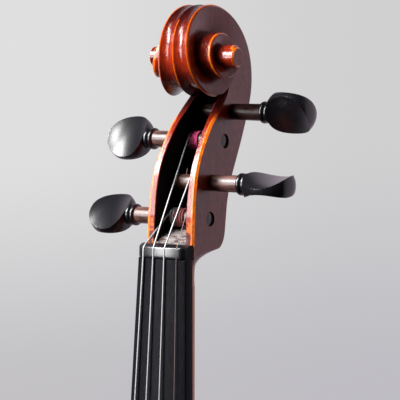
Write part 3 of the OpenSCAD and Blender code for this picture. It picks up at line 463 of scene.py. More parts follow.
def side_points(front, back, front_half, back_half, chamfer, lip, scoop):
    """One side of the head from its front edge, or the foot of the next turn, to its back edge."""
    run = back - front
    reach = run.length
    ahead = run / reach
    edge = min(chamfer, reach * 0.2)
    soft = min(edge + 0.45, reach * 0.3)
    stops = [0, edge, *spread(soft, reach - soft, SIDE_COUNT), reach - edge]
    points = []
    for stop in stops:
        share = stop / reach
        x = lerp(front_half, back_half, share) - scoop * (1 - share) ** 2
        if stop == 0:
            x -= lip
        points.append(Vector((x, *(front + ahead * stop))))
    return points


def band_points(back, inward, right, left, chamfer, flute):
    """The back of the head from right to left, with its two flutes."""
    shares = [*BAND_OUTER, *spread(BAND_INNER, -BAND_INNER, INNER_COUNT)]
    shares += [-share for share in reversed(BAND_OUTER)]
    points = []
    for share in shares:
        dip = flute * abs(math.sin(math.pi * share)) ** 0.85
        x = lerp(chamfer - left, right - chamfer, (share + 1) / 2)
        points.append(Vector((x, *(back + inward * dip))))
    return points


def flute_share(half):
    """The flutes are deeper where the back of the head is wider."""
    return lerp(1, half / 7, 0.85)


def mirrored(points):
    return [Vector((-p.x, p.y, p.z)) for p in points]


def front_points(front, half):
    return [Vector((x, *front)) for x in spread(-half, half, INNER_COUNT)]


def shaft_ring(front, back, half, narrow, slim=1.0):
    """A ring of the neck: flat in front, rounded behind, with as many points as a pegbox ring."""
    count = 2 * (SIDE_COUNT + 2) + 2 * len(BAND_OUTER) + INNER_COUNT
    run = back - front
    ring = front_points(front, half)
    for k in range(count):
        angle = math.pi * (k + 0.5) / count
        deep = lerp(0.03, 1, math.sin(angle) ** 0.9)
        full = abs(math.cos(angle)) ** 0.75
        wide = lerp(half, narrow, math.sin(angle)) * lerp(full, (1 - deep**1.55) ** 0.75, slim)
        ring.append(Vector((math.copysign(wide, math.cos(angle)), *(front + run * deep))))
    return ring


def pegbox_ring(row, chamfer, flute):
    back, front = Vector(row[0:2]), Vector(row[3:5])
    inward = (front - back).normalized()
    side = side_points(front, back, row[5], row[2], chamfer, chamfer, 0)[1:]
    band = band_points(back, inward, row[2], row[2], chamfer, flute)
    return front_points(front, row[5] - chamfer) + side + band + mirrored(reversed(side))


def neck_rings(sizes):
    """Rings of the neck from the heel up to the chin, square to the fingerboard."""
    neck = mm(sizes.neck_length)
    depth = mm(sizes.neck_depth)
    heel = (plan().rib_back + neck * math.sin(sizes.tilt)) / math.cos(sizes.tilt)
    rings = []
    heights = [-neck + 0.5]
    for share in spread(1, 0, HEEL_STEPS + 1):
        heights.append(-neck + HEEL_RISE - HEEL_CURVE * math.sin(math.pi / 2 * share))
    heights += [-90, -75, -55, -35, -20, -12]
    for z in heights:
        bend = min(1.0, max(0.0, (-z - neck + HEEL_RISE) / HEEL_CURVE))
        deep = lerp(depth, depth + 2, -z / neck)
        deep += (heel - depth - 3) * (1 - math.sqrt(1 - bend * bend))
        half = lerp(mm(sizes.nut_width) / 2, HEEL_HALF, -z / neck) - 0.1
        narrow = lerp(half, 10.5, max(0, deep / heel - 0.35) / 0.65)
        slim = 1 - smooth((deep / heel - 0.38) / 0.3)
        rings.append(shaft_ring(Vector((0, z)), Vector((deep, z)), half, narrow, slim))
    return rings


def head_rings(sizes):
    """Closed rings of the neck and pegbox, up to the throat."""
    chamfer, flute = mm(sizes.chamfer), mm(sizes.flute)
    rows = pegbox_rows(chamfer)
    rings = neck_rings(sizes)
    last = len(rows) - 1
    for t in spread(0, last, last * 6 + 1):
        row = spline(rows, t)
        depth = flute * flute_share(min(row[2], 9)) * smooth((t - 4.2) / 2)
        box = pegbox_ring(row, chamfer, depth)
        round_share = 1 - smooth((t - 1.2) / 2.6)
        back, front = Vector(row[0:2]), Vector(row[3:5])
        shaft = shaft_ring(front, back, row[5] - 0.1, row[5] - 0.1)
        rings.append([b.lerp(s, round_share) for b, s in zip(box, shaft)])
    return rings


def bed_points(turn, sizes, side=1):
    """One row across a bed of the scroll, from the foot of the next turn to the outer edge."""
    chamfer = edge_chamfer(turn, sizes)
    start = smooth((turn - THROAT_TURN + 1) / 0.3)
    throat_half = BAND_INNER * (coil_half(THROAT_TURN) - chamfer) + chamfer
    half = coil_half(turn, side)
    front, back = coil(turn + 1), coil(turn)
    room = smooth((back - front).length / 5)
    scoop = mm(sizes.bed) * start * room
    lip = lerp(chamfer, 0.1, start)
    return side_points(front, back, lerp(throat_half, half, start), half, chamfer, lip, scoop)


def edge_chamfer(turn, sizes):
    """The chamfers grow narrower on the second turn."""
    return mm(sizes.chamfer) * lerp(1, 0.62, smooth((turn - THROAT_TURN) / 0.25))


def wall_points(turn, sizes, side=1):
    """The wall of one turn, from its foot on the bed to its chamfered edge."""
    chamfer = edge_chamfer(turn, sizes)
    foot = bed_points(turn - 1, sizes, side)[0]
    top = Vector((coil_half(turn, side) - chamfer, *coil(turn)))
    shares = [(1 - share) / (1 - BAND_INNER) for share in reversed(BAND_OUTER)]
    rises = [foot] + [foot.lerp(top, 1 - share) for share in shares]
    return rises + [bed_points(turn, sizes, side)[-1]]


def head_mesh(sizes):
    """The neck, pegbox and scroll as one closed mesh, without the pegbox's hollow."""
    chamfer = mm(sizes.chamfer)
    bm = bmesh.new()
    patch(bm, [[*ring, ring[0]] for ring in head_rings(sizes)])
    first = THROAT_TURN - 1
    turns = [first + k / TURN_STEPS for k in range(round((LAST_TURN - first) * TURN_STEPS) + 1)]
    band = []
    for turn in turns[: TURN_STEPS + 1]:
        fade = 1 - smooth((turn - 0.76) / 0.16)
        inward = (SCROLL_CENTRE - coil(turn)).normalized()
        depth = mm(sizes.flute) * fade * flute_share(coil_half(turn))
        across = band_points(coil(turn), inward, coil_half(turn), coil_half(turn, -1), chamfer, depth)
        left = bed_points(turn, sizes, -1)[-1]
        band.append([bed_points(turn, sizes)[-1], *across, *mirrored([left])])
    patch(bm, band)
    for side in (1, -1):
        beds = [bed_points(turn, sizes, side) for turn in turns]
        walls = [wall_points(turn, sizes, side) for turn in turns[TURN_STEPS:]]
        for rows in (beds, walls):
            patch(bm, [mirrored(row) for row in rows] if side < 0 else rows)
    close_up(bm)
    return bm


# Depth of the pegbox's floor and half its inner width, by height over the nut
HOLLOW_FLOOR = (
    (6.6, -0.4), (7.8, 2.5), (9.4, 7), (11.2, 11.6), (13, 15.4), (15, 18), (18, 19.6), (24, 20.7),
    (33, 23.3), (42.5, 28.5), (52, 34.3), (60, 38.8), (65, 40.6), (69, 40.6), (71, 38)
)  # fmt: skip
HOLLOW_HALF = ((6, 8.1), (18, 7.9), (32, 7.9), (44, 7.7), (57, 7.1), (66, 6.1), (72, 5.4))


def hollow_mesh(sizes):
    """The space inside the pegbox, with a chamfered mouth."""
    rows = pegbox_rows(mm(sizes.chamfer))
    edge_line = [spline(rows, t) for t in spread(0, len(rows) - 1, 120)]
    mouth = [(row[4], row[3]) for row in edge_line]
    rings = []
    lip = 0.7
    corner = 2.0
    for z in spread(HOLLOW_FLOOR[0][0], HOLLOW_FLOOR[-1][0], 90):
        floor = lookup(HOLLOW_FLOOR, z)
        half = lookup(HOLLOW_HALF, z)
        front = lookup(mouth, z) - 0.4
        flare = lip * (1 - smooth((z - 56) / 6))
        reach = lerp(3, 0.5, smooth((z - 58) / 6))
        deep = max(floor, front + lip + corner + 0.3)
        arc = []
        for k in range(7):
            angle = math.pi / 2 * k / 6
            x = half - corner + corner * math.cos(angle)
            y = deep - corner + corner * math.sin(angle)
            arc.append(Vector((x, y, z)))
        mouth_out = Vector((half + flare + reach * (1 - smooth((z - 56) / 6)), front - reach, z))
        mouth_in = Vector((half, front + flare, z))
        right = [mouth_out, mouth_in, *arc]
        rings.append(right + mirrored(reversed(right)))
    bm = bmesh.new()
    tube(bm, rings)
    return bm


PEG_SIDES = {"g": -1, "d": -1, "a": 1, "e": 1}


def peg_places():
    """Side, centre and collar distance of each peg; the centres are in the shared frame."""
    sizes = bpy.context.scene.violin_pegs
    places = {}
    for joint in frame["joints"]:
        name = joint["child"]
        if name.startswith("peg_"):
            side = PEG_SIDES[name[-1]]
            collar = sizes.bass_collar if side < 0 else sizes.treble_collar
            places[name[-1]] = (side, Vector(joint["pos_m"]) / MM, mm(collar))
    return places


def neck_to_shared():
    return Matrix.Rotation(-bpy.context.scene.violin_head.tilt, 4, "X")


def sideways(side):
    """Turns what is drawn upwards to point to one side."""
    return Matrix.Rotation(side * math.pi / 2, 4, "Y")


def eye_reach(sizes, side):
    """Distance of an eye's end from the middle, which is further on the bass side."""
    return mm(sizes.eye_out) + (BASS_EYE if side < 0 else 0)


HEAD_FINISHES = ("head_varnish", "pegbox_dark", "ledge_wood")
EYE_CHAMFER = 0.6
# Room round each peg in its bores
PEG_GAP = 0.06
# Height over the nut at which the dusty slope ends
SLOPE_TOP = 15.5
# How far from its carved edges, rims and ridge the varnish is worn
EDGE_WEAR = 0.2
RIM_WEAR = 0.75
RIDGE_WEAR = 0.8
WEAR_STEPS = 1600


class VIOLIN_OT_head(bpy.types.Operator):
    """Carves the neck, the pegbox and the scroll from one piece"""

    bl_idname = "violin.head"
    bl_label = "Head"

    def execute(self, context):
        sizes = context.scene.violin_head
        tilt = neck_to_shared()
        piece = to_object(head_mesh(sizes), "head", tilt)
        dress(piece, HEAD_FINISHES)
        for side in (-1, 1):
            bm = bmesh.new()
            out, radius = eye_reach(sizes, side), mm(sizes.eye_radius)
            profile = [(0, 6), *((radius, z) for z in (6, out - 2, out - 1.1, out - EYE_CHAMFER))]
            profile += [(radius - EYE_CHAMFER, out), (radius - 1.1, out), (0, out)]
            turned(bm, profile, 72)
            place = tilt @ Matrix.Translation((0, *SCROLL_CENTRE)) @ sideways(side)
            combine(piece, to_object(bm, "eye", place), "UNION")
        combine(piece, foot_block(plan()), "UNION")
        hollow = to_object(hollow_mesh(sizes), "hollow", tilt)
        self.line(hollow, sizes)
        combine(piece, hollow, "DIFFERENCE")
        for side, centre, collar in peg_places().values():
            bm = bmesh.new()
            radius = mm(context.scene.violin_pegs.shaft_radius) + PEG_GAP
            tip = radius - 2 * collar / PEG_TAPER
            turned(bm, [(0, -collar), (tip, -collar), (radius, collar), (0, collar)], 48)
            place = Matrix.Translation(centre) @ sideways(side)
            combine(piece, to_object(bm, "bore", place), "DIFFERENCE")
        mark_wear(piece, self.edges(sizes))
        self.mark_hands(piece)
        finish_piece(piece, HEAD_FINISHES, "neck")
        return {"FINISHED"}

    def line(self, hollow, sizes):
        """Blackens the inside of the pegbox, but leaves its mouth varnished and its slope dusty."""
        dress(hollow, HEAD_FINISHES)
        mouth = [(row[4], row[3]) for row in pegbox_rows(mm(sizes.chamfer))]
        back = (TO_METRES @ neck_to_shared()).inverted()
        for face in hollow.data.polygons:
            centre = back @ face.center
            slope = centre.z < SLOPE_TOP and abs(face.normal.x) < 0.4
            inside = centre.y > lookup(mouth, centre.z) + 0.3
            face.material_index = (2 if slope else 1) if inside or slope else 0

    def mark_hands(self, piece):
        """Stores where the neck is bare, the cheeks rubbed and the slope dusty, and where shade is
        painted into the varnish.
        """
        back = (TO_METRES @ neck_to_shared()).inverted()
        layers = piece.data.attributes
        for name in ("bare", "touched", "dusty", "aged"):
            layers.new(name, "FLOAT", "POINT")
        for i, vert in enumerate(piece.data.vertices):
            x, y, z = back @ vert.co
            crest = smooth((z - 90) / 14)
            throat = smooth((84 - z) / 12) * smooth((z - 54) / 12)
            bass_eye = 0.8 * smooth((-x - 15.5) / 1.5)
            facing = smooth((0.95 - abs(vert.normal.x)) / 0.4)
            forward = smooth((5 - y) / 2)
            foot = 0.9 * smooth((11.5 - z) / 2) * smooth((z - 3) / 2) * forward
            held = smooth((z - 9.5) / 2) * (1 - smooth((z - 15) / 3)) * forward
            middle = 1 - smooth((abs(x) - 7.6) / 0.8)
            slope = smooth((z - 3) / 1.5) * (1 - smooth((z - 10) / 9)) * (1 - smooth((y - 1) / 1.5))
            # Painted shade: the varnish is darkened at the top of the scroll, at the throat under it,
            # on the bass eye and just above the nut, on faces that do not face sideways
            layers["aged"].data[i].value = max(crest, throat, bass_eye, foot) * facing
            # Painted shade: the worn edges fade back to dark varnish deep in the throat, where the
            # scroll shades them
            layers["wear"].data[i].value *= 1 - 0.8 * throat * smooth((y - 15) / 4)
            layers["bare"].data[i].value = smooth((-z - 1) / 4) * (1 - smooth((-z - 112) / 8))
            layers["touched"].data[i].value = max(held, 0.3 * foot) * (1 - middle) * facing
            layers["dusty"].data[i].value = slope * middle

    def edges(self, sizes):
        """Points along the worn edges, in the shared frame, with how far the wear reaches."""
        chamfer = mm(sizes.chamfer)
        rows = pegbox_rows(chamfer)
        tilt = neck_to_shared()
        points = []
        for t in spread(3, len(rows) - 1, WEAR_STEPS):
            row = spline(rows, t)
            back, front = Vector(row[0:2]), Vector(row[3:5])
            ahead = (back - front).normalized() * chamfer
            points.append(Vector((row[5], *(front + ahead))))
            points.append(Vector((row[5] - chamfer, *front)))
            points.append(Vector((row[2], *(back - ahead))))
            points.append(Vector((row[2] - chamfer, *back)))
        points += mirrored(points)
        rims = []
        for side in (1, -1):
            rim, edge = [], []
            for turn in spread(THROAT_TURN - 1, LAST_TURN, WEAR_STEPS):
                rim.append(Vector((coil_half(turn, side) - edge_chamfer(turn, sizes), *coil(turn))))
            out, radius = eye_reach(sizes, side), mm(sizes.eye_radius)
            for k in range(120):
                angle = math.tau * k / 120
                spoke = Vector((math.cos(angle), math.sin(angle)))
                edge.append(Vector((out - EYE_CHAMFER, *(SCROLL_CENTRE + spoke * radius))))
                edge.append(Vector((out, *(SCROLL_CENTRE + spoke * (radius - EYE_CHAMFER)))))
            points += mirrored(edge) if side < 0 else edge
            rims += mirrored(rim) if side < 0 else rim
        ridge = []
        for turn in spread(0.36, 0.64, 300):
            reach = RIDGE_WEAR * (1.02 - ((turn - 0.5) / 0.14) ** 2)
            point = Vector(((coil_half(turn, 1) - coil_half(turn, -1)) / 2, *coil(turn)))
            ridge.append((tilt @ point, reach))
        reaches = ((points, EDGE_WEAR), (rims, RIM_WEAR))
        return ridge + [(tilt @ point, reach) for line, reach in reaches for point in line]


# Places that several pieces share


def plan():
    """Planes and places of the body, the strings and the fittings, in millimetres."""
    scene = bpy.context.scene
    head, body, board = scene.violin_head, scene.violin_body, scene.violin_board
    fittings = scene.violin_fittings
    p = SimpleNamespace()
    p.neck = mm(head.neck_length)
    p.nut_half = mm(head.nut_width) / 2
    p.length = mm(body.body_length)
    p.top = -p.neck * math.cos(head.tilt)
    p.foot = p.top - p.length
    p.edge = mm(body.edge)
    p.front_edge = -p.neck * math.sin(head.tilt) + mm(body.overstand)
    p.rib_front = p.front_edge + p.edge
    p.rib_back = p.rib_front + mm(body.rib_height)
    p.bridge_z = p.top - mm(body.stop)
    p.bridge_v = p.length - mm(body.stop)
    p.board_radius = mm(board.board_radius)
    reach = board_middle(p.bridge_z / math.cos(head.tilt)) + mm(board.string_height)
    over = p.bridge_z - reach * math.sin(head.tilt)
    p.bridge_top = -reach * math.cos(head.tilt) + over * math.tan(head.tilt)
    p.saddle_top = p.front_edge - mm(fittings.saddle_height)
    tail_from = Vector((0, p.bridge_top + 1.5, p.bridge_z))
    loop = mm(fittings.loop_width)
    tail_to = Vector((0, p.saddle_top - loop - 1.5, p.foot + mm(fittings.saddle_depth)))
    run = tail_from - tail_to
    at = tail_to + run.normalized() * (mm(fittings.tail_gap) + mm(fittings.tail_length))
    p.tail = Matrix.Translation(at) @ Matrix.Rotation(math.atan2(-run.y, run.z), 4, "X")
    p.knob_y = (p.rib_front + p.rib_back) / 2
    p.front = Matrix.Translation((0, p.rib_front, p.foot)) @ LAID
    flip = Matrix.Scale(-1, 4, (0, 1, 0))
    p.back = Matrix.Translation((0, p.rib_back, p.foot)) @ flip @ LAID
    return p


def crown(radius, half):
    """How far a round surface falls from its middle to half a width."""
    return radius - math.sqrt(radius * radius - half * half)


def board_middle(z):
    """Thickness of the fingerboard in its middle, at a place along the neck."""
    scene = bpy.context.scene
    board = scene.violin_board
    radius = mm(board.board_radius)
    near = crown(radius, mm(scene.violin_head.nut_width) / 2)
    far = crown(radius, mm(board.board_end) / 2)
    return mm(board.board_edge) + lerp(near, far, -z / mm(board.board_length))


# Pegs and the string wound on them


# Angle of each head's face about its shaft, and how much longer than usual the head is
PEG_HEADS = {"g": (45, -0.4), "d": (58, -0.4), "a": (132, 0.5), "e": (14, 1.2)}
# Where the turns of string start from the middle, how far they run, and where the string comes off
WINDINGS = {"g": (-0.6, 7.6, 0.96), "d": (1.2, 5.2, 0.96), "a": (1.4, 3.7, 0.5), "e": (2.2, 5.0, 0.5)}
# Length over which a shaft gains one millimetre of radius
PEG_TAPER = 60.0
# Distance between turns of string against its radius, where they lie open and where they lie close
OPEN_TURNS = 2.7
CLOSE_TURNS = 2.08
# Radius of a string's end where thread is wrapped round it
SILK_RADIUS = 0.44
# Half width of the pegbox where each peg ends, less what the end is short of the outside
PEG_ENDS = {"g": 11.2, "d": 9.6, "a": 8.6, "e": 10.7}


def peg_matrix(name):
    """Lays a peg drawn along Z, with the collar at zero and the head up, on its place."""
    side, centre, collar = peg_places()[name]
    along = sideways(side) @ Matrix.Translation((0, 0, collar))
    return Matrix.Translation(centre) @ neck_to_shared() @ along


def ring_profile(radius, low, high, corner):
    """The outside of one collar ring, rounded at both rims."""
    points = []
    for middle, first in ((low + corner, -90), (high - corner, 0)):
        for k in range(6):
            angle = math.radians(first + 18 * k)
            out = radius - corner + corner * math.cos(angle)
            points.append((out, middle + corner * math.sin(angle)))
    return points


class VIOLIN_OT_pegs(bpy.types.Operator):
    """Turns the four pegs and hollows the faces of their heads"""

    bl_idname = "violin.pegs"
    bl_label = "Pegs"

    def execute(self, context):
        sizes = context.scene.violin_pegs
        for name in STRINGS:
            place = peg_matrix(name)
            side, _, collar = peg_places()[name]
            piece = to_object(self.shaft(sizes, collar + PEG_ENDS[name]), f"peg_{name}_turned", place)
            turn, extra = PEG_HEADS[name]
            facing = place @ Matrix.Rotation(math.radians(side * turn), 4, "Z")
            head = self.head(sizes, facing, mm(sizes.head_length) + extra)
            soften(head, 0.4, 4, 25)
            combine(piece, head, "UNION")
            # Painted shade: the A peg's shaft gets a darker copy of the brown, standing for the
            # scroll's shadow on it
            materials = ["peg_black", "peg_dark" if name == "a" else "peg_brown"]
            finish_piece(piece, materials, f"peg_{name}", f"peg_{name}", 32)
            piece.modifiers.new("even_shading", "WEIGHTED_NORMAL").keep_sharp = True
            back = (TO_METRES @ place).inverted()
            tip = -collar - PEG_ENDS[name]
            for face in piece.data.polygons:
                face.material_index = 1 if tip + 0.02 < (back @ face.center).z < -0.02 else 0
        return {"FINISHED"}

    def shaft(self, sizes, reach):
        """The tapered shaft with the two collar rings."""
        radius, rim = mm(sizes.shaft_radius), mm(sizes.collar_radius)
        tip = radius - reach / PEG_TAPER
        profile = [(0, -reach), (tip - 0.5, -reach), (tip - 0.15, 0.15 - reach), (tip, 0.5 - reach)]
        collar = mm(sizes.collar_length)
        profile += [(radius, -0.05), *ring_profile(rim, -0.05, collar / 2 - 0.2, 0.8)]
        profile += ring_profile(rim - 0.05, collar / 2 + 0.05, collar, 0.85)
        profile += [(0, collar + 0.05)]
        bm = bmesh.new()
        turned(bm, profile)
        return bm

    def head(self, sizes, facing, reach):
        """The round bulb, cut hollow on both faces."""
        rim, base = mm(sizes.collar_radius) - 0.7, mm(sizes.collar_length) - 0.4
        radius = mm(sizes.head_radius)
        shoulder = (radius * 1.03, base + 0.8)
        cheek = (radius * 1.19, base + reach * 0.7)
        crest = (radius * 0.5, base + reach * 0.94)
        side = [tuple(p) for p in bezier([(rim, base), shoulder, cheek, crest], 20)]
        ends = [(radius * 0.36, base + reach * 0.985), (radius * 0.2, base + reach), (0, base + reach)]
        cap = [tuple(p) for p in bezier([crest, *ends], 9)]
        bm = bmesh.new()
        turned(bm, [(0, base), *side, *cap[1:]], 72)
        head = to_object(bm, "bulb", facing)
        dish, waist, swell = mm(sizes.dish_radius), mm(sizes.waist), mm(sizes.face_swell)
        for side_of in (-1, 1):
            bm = bmesh.new()
            wheel = [(dish + y * y / (2 * swell), y) for y in spread(-12, 12, 17)]
            turned(bm, [(0, -12), *wheel, (0, 12)], 160)
            across = Matrix.Translation((side_of * (waist + dish), 0, base + 0.4 + reach * 0.5))
            combine(head, to_object(bm, "dish", facing @ across @ LAID), "DIFFERENCE")
        return head


def wound_radius(name):
    """Distance of the wound string's middle from the peg's axis."""
    sizes = bpy.context.scene.violin_pegs
    _, _, collar = peg_places()[name]
    start, run, _ = WINDINGS[name]
    return mm(sizes.shaft_radius) - (collar - start - run / 2) / PEG_TAPER + thread(name)


def thread(name):
    """Radius of the string as it lies on the peg, with its silk."""
    radius = string_width(name) / 2
    return radius if name == "e" else max(radius, SILK_RADIUS)


def string_width(name):
    return mm(getattr(bpy.context.scene.violin_board, f"{name}_width"))


def string_across(width, index):
    """Where a string lies across, when the outer two are a width apart."""
    return width * (index / 3 - 0.5)


class VIOLIN_OT_windings(bpy.types.Operator):
    """Winds the turns of string on the pegs"""

    bl_idname = "violin.windings"
    bl_label = "Windings"

    def execute(self, context):
        for name in STRINGS:
            start, run, _ = WINDINGS[name]
            collar = peg_places()[name][2]
            radius = thread(name)
            pitch = radius * (OPEN_TURNS if name == "g" else CLOSE_TURNS)
            turns = run / pitch
            bm = bmesh.new()
            ring = bmesh.ops.create_circle(bm, segments=10, radius=radius)["verts"]
            outwards = Matrix.Translation((wound_radius(name), 0, 0))
            bmesh.ops.transform(bm, matrix=outwards @ LAID, verts=ring)
            steps = max(8, round(turns * 28))
            rise = {"angle": math.tau * turns, "steps": steps, "dvec": (0, 0, run / steps)}
            bmesh.ops.spin(bm, geom=bm.verts[:] + bm.edges[:], **rise, **ABOUT_Z)
            if name == "e":
                self.loose_end(bm)
            close_up(bm)
            base = peg_matrix(name) @ Matrix.Translation((0, 0, start - collar))
            piece = to_object(bm, f"turns_{name}", base)
            thread_of = "pink_thread" if name == "d" else "faded_thread"
            materials = ["wire", thread_of] if name != "e" else ["plain_wire"]
            finish_piece(piece, materials, f"winding_{name}", f"peg_{name}", 60)
            if name in "gda":
                metal = 2 * pitch if name == "g" else pitch
                back = (TO_METRES @ base).inverted()
                for face in piece.data.polygons:
                    face.material_index = 0 if (back @ face.center).z > run - metal else 1
        return {"FINISHED"}

    def loose_end(self, bm):
        """The end of the plain string, standing out of the peg's hole."""
        cone = bmesh.ops.create_cone(bm, cap_ends=True, segments=8, radius1=0.24, radius2=0.2, depth=4)
        stand = Matrix.Translation((-3.7, -0.8, -3.9)) @ Matrix.Rotation(math.radians(-80), 4, "Y")
        bmesh.ops.transform(bm, matrix=stand, verts=cone["verts"])


# Strings, nut and fingerboard


def nut_place(name):
    """Where a string lies on the nut, in the neck's frame: across and outwards."""
    board = bpy.context.scene.violin_board
    x = string_across(mm(board.nut_spread), STRINGS.index(name))
    out = board_middle(0) - crown(mm(board.board_radius), abs(x)) + 0.35
    return x, -(out + string_width(name) / 2)


# How far up the nut a string bends back, and the strings' spread at the tailpiece against the bridge
NUT_BEND = 4.5
TAIL_SPREAD = 0.9


def leave_point(name):
    """Where a string comes off its turns on the peg, in the neck's frame."""
    side, centre, _ = peg_places()[name]
    axis = neck_to_shared().inverted() @ centre
    _, y = nut_place(name)
    across, up = axis.y - y, axis.z - NUT_BEND
    reach = math.hypot(across, up)
    radius = wound_radius(name)
    angle = math.atan2(across, up) - math.asin(radius / reach)
    run = math.sqrt(reach * reach - radius * radius)
    start, long, share = WINDINGS[name]
    x = side * (start + long * share)
    return Vector((x, y + run * math.sin(angle), NUT_BEND + run * math.cos(angle)))


def cord(bm, path, radius, count=10):
    """A round cord along a path."""
    rings = []
    across = Vector((0.31, 0.9, 0.3))
    for i, point in enumerate(path):
        ahead = (path[min(i + 1, len(path) - 1)] - path[max(i - 1, 0)]).normalized()
        across = (across - ahead * across.dot(ahead)).normalized()
        other = ahead.cross(across)
        ring = []
        for k in range(count):
            angle = math.tau * k / count
            ring.append(point + radius * (math.cos(angle) * across + math.sin(angle) * other))
        rings.append(ring)
    tube(bm, rings)


class VIOLIN_OT_strings(bpy.types.Operator):
    """Stretches the four strings from the pegs to the tailpiece"""

    bl_idname = "violin.strings"
    bl_label = "Strings"

    def execute(self, context):
        p = plan()
        board = context.scene.violin_board
        tilt = neck_to_shared()
        for i, name in enumerate(STRINGS):
            radius = string_width(name) / 2
            x, y = nut_place(name)
            corner = Vector((x, y, NUT_BEND))
            leave = leave_point(name)
            over = self.bend(corner, (leave - corner).normalized())
            bends = [leave, *bezier(over, 5), Vector((x, y, 0.0))]
            bridge_x = string_across(mm(board.bridge_spread), i)
            bridge_y = p.bridge_top + crown(p.board_radius, abs(bridge_x)) - radius * 0.36
            tail_x = bridge_x * TAIL_SPREAD
            end = (-radius - 0.05, -2.7) if name == "e" else (1.15 - radius, -9)
            ends = [Vector((tail_x, -radius - 0.05, 2.5)), Vector((tail_x, *end))]
            path = [tilt @ point for point in bends]
            path += [Vector((bridge_x, bridge_y, p.bridge_z))] + [p.tail @ point for point in ends]
            bm = bmesh.new()
            cord(bm, path, radius)
            piece = to_object(bm, f"wire_{name}")
            material = "plain_wire" if name == "e" else "wire"
            finish_piece(piece, [material], f"string_{name}", sharp=60)
        return {"FINISHED"}

    def bend(self, corner, slope):
        """Control points of the curve over the back of the nut."""
        start = corner + slope * 1.6
        end = corner + Vector((0, 0, -1.2))
        return [start, lerp(start, corner, 0.7), lerp(end, corner, 0.7), end]


class VIOLIN_OT_board(bpy.types.Operator):
    """Shapes the nut and the fingerboard"""

    bl_idname = "violin.board"
    bl_label = "Nut and fingerboard"

    def execute(self, context):
        board = context.scene.violin_board
        tilt = neck_to_shared()
        self.nut(plan(), board, tilt)
        bm = bmesh.new()
        tube(bm, self.rings(plan(), board))
        piece = to_object(bm, "board", tilt)
        soften(piece, 0.45, 3, 40)
        finish_piece(piece, ["board_black"], "fingerboard", sharp=30)
        return {"FINISHED"}

    def nut(self, p, board, tilt):
        """The nut, rounded over its back and ends, with a slot under each string."""
        top = board_middle(0) + mm(board.nut_rise)
        deep = mm(board.nut_length)
        half = p.nut_half
        rows = []
        for x in spread(-half, half, 41):
            fall = crown(p.board_radius, abs(x))
            end = smooth((abs(x) - half + 2.2) / 2.2) * 1.3
            high = -(top - fall - end)
            row = [(0, 0.05), (high + 0.6, 0.05), (high + 0.2, 0.2), (high + 0.04, 0.6), (high, 1.2)]
            row += [(high, 4.2), (high + 0.08, 4.6), (high + 0.4, 5)]
            row += [(high + 1.9, deep - 0.2), (high + 3, deep), (0, deep)]
            rows.append([Vector((x, y, z)) for y, z in row])
        bm = bmesh.new()
        tube(bm, rows)
        piece = to_object(bm, "nut_block", tilt)
        for name in STRINGS:
            x, y = nut_place(name)
            corner = Vector((x, y, NUT_BEND))
            slope = (leave_point(name) - corner).normalized()
            bm = bmesh.new()
            line = [Vector((x, y, -3)), Vector((x, y, 0)), corner, corner + slope * 9]
            cord(bm, line, string_width(name) / 2 + 0.07, 16)
            combine(piece, to_object(bm, "slot", tilt), "DIFFERENCE")
        finish_piece(piece, ["nut_black", "board_black"], "nut", sharp=40)
        for face in piece.data.polygons:
            face.material_index = 1 if abs(face.normal.x) > 0.7 else 0

    def rings(self, p, board):
        """Sections of the fingerboard, hollowed under its free end."""
        long = mm(board.board_length)
        stops = [0.0, 0.6, *spread(20, p.neck - 4, 7), *spread(p.neck + 2, p.neck + 12, 6)]
        stops += [*spread(p.neck + 30, long - 6, 6), long]
        rings = []
        for stop in stops:
            half = lerp(p.nut_half, mm(board.board_end) / 2, stop / long)
            middle = board_middle(-stop)
            hollow = 3.6 * smooth((stop - p.neck - 2) / 10)
            ring = []
            for x in spread(half, -half, 29):
                fall = crown(p.board_radius, abs(x))
                ring.append(Vector((x, fall - middle, -stop)))
            for x in spread(-half, half, 29):
                dip = hollow * (1 - min(1, abs(x) / (half - 3)) ** 2)
                ring.append(Vector((x, -dip, -stop)))
            rings.append(ring)
        return rings


# Body


# Heights of the widest, narrowest and widest places of the body, from the foot, against its length
BOUTS = (0.82, 0.534, 0.21)


def outline_curves():
    """The treble half of the body's outline, top to foot, as the curves of its three bouts."""
    body = bpy.context.scene.violin_body
    length_of, upper, lower = mm(body.body_length), mm(body.upper_width), mm(body.lower_width)
    half = mm(body.middle_width) / 2
    upper_at, middle_at, lower_at = (length_of * share for share in BOUTS)
    upper_corner = Vector((upper / 2 - 6, length_of * 0.657))
    lower_corner = Vector((lower / 2 - 10, length_of * 0.395))
    corner = 8.0
    upper_in = upper_corner + corner * Vector((-0.39, -0.92))
    lower_in = lower_corner + corner * Vector((-0.52, 0.855))
    top = [(0, length_of), (upper * 0.275, length_of)]
    top += [(upper / 2, upper_at + 41), (upper / 2, upper_at)]
    shoulder = [top[3], (upper / 2, upper_at - 22), upper_corner + Vector((-8, 19)), upper_corner]
    waist = [upper_in, upper_in + Vector((-11.5, -2)), (half, middle_at + 20), (half, middle_at)]
    hip = [waist[3], (half, middle_at - 23), lower_in + Vector((-22, 4)), lower_in]
    side = [lower_corner, lower_corner + Vector((-12, -18.5))]
    side += [(lower / 2, lower_at + 33), (lower / 2, lower_at)]
    tail = [side[3], (lower / 2, lower_at - 45), (lower * 0.28, 0), (0, 0)]
    upper_bout = bezier(top, 25)[:-1] + bezier(shoulder, 17)
    middle_bout = bezier(waist, 17)[:-1] + bezier(hip, 17)
    lower_bout = bezier(side, 17)[:-1] + bezier(tail, 25)
    return upper_bout, middle_bout, lower_bout


def full_outline():
    half = [point for curve in outline_curves() for point in curve]
    return half + [Vector((-p.x, p.y)) for p in reversed(half[1:-1])]


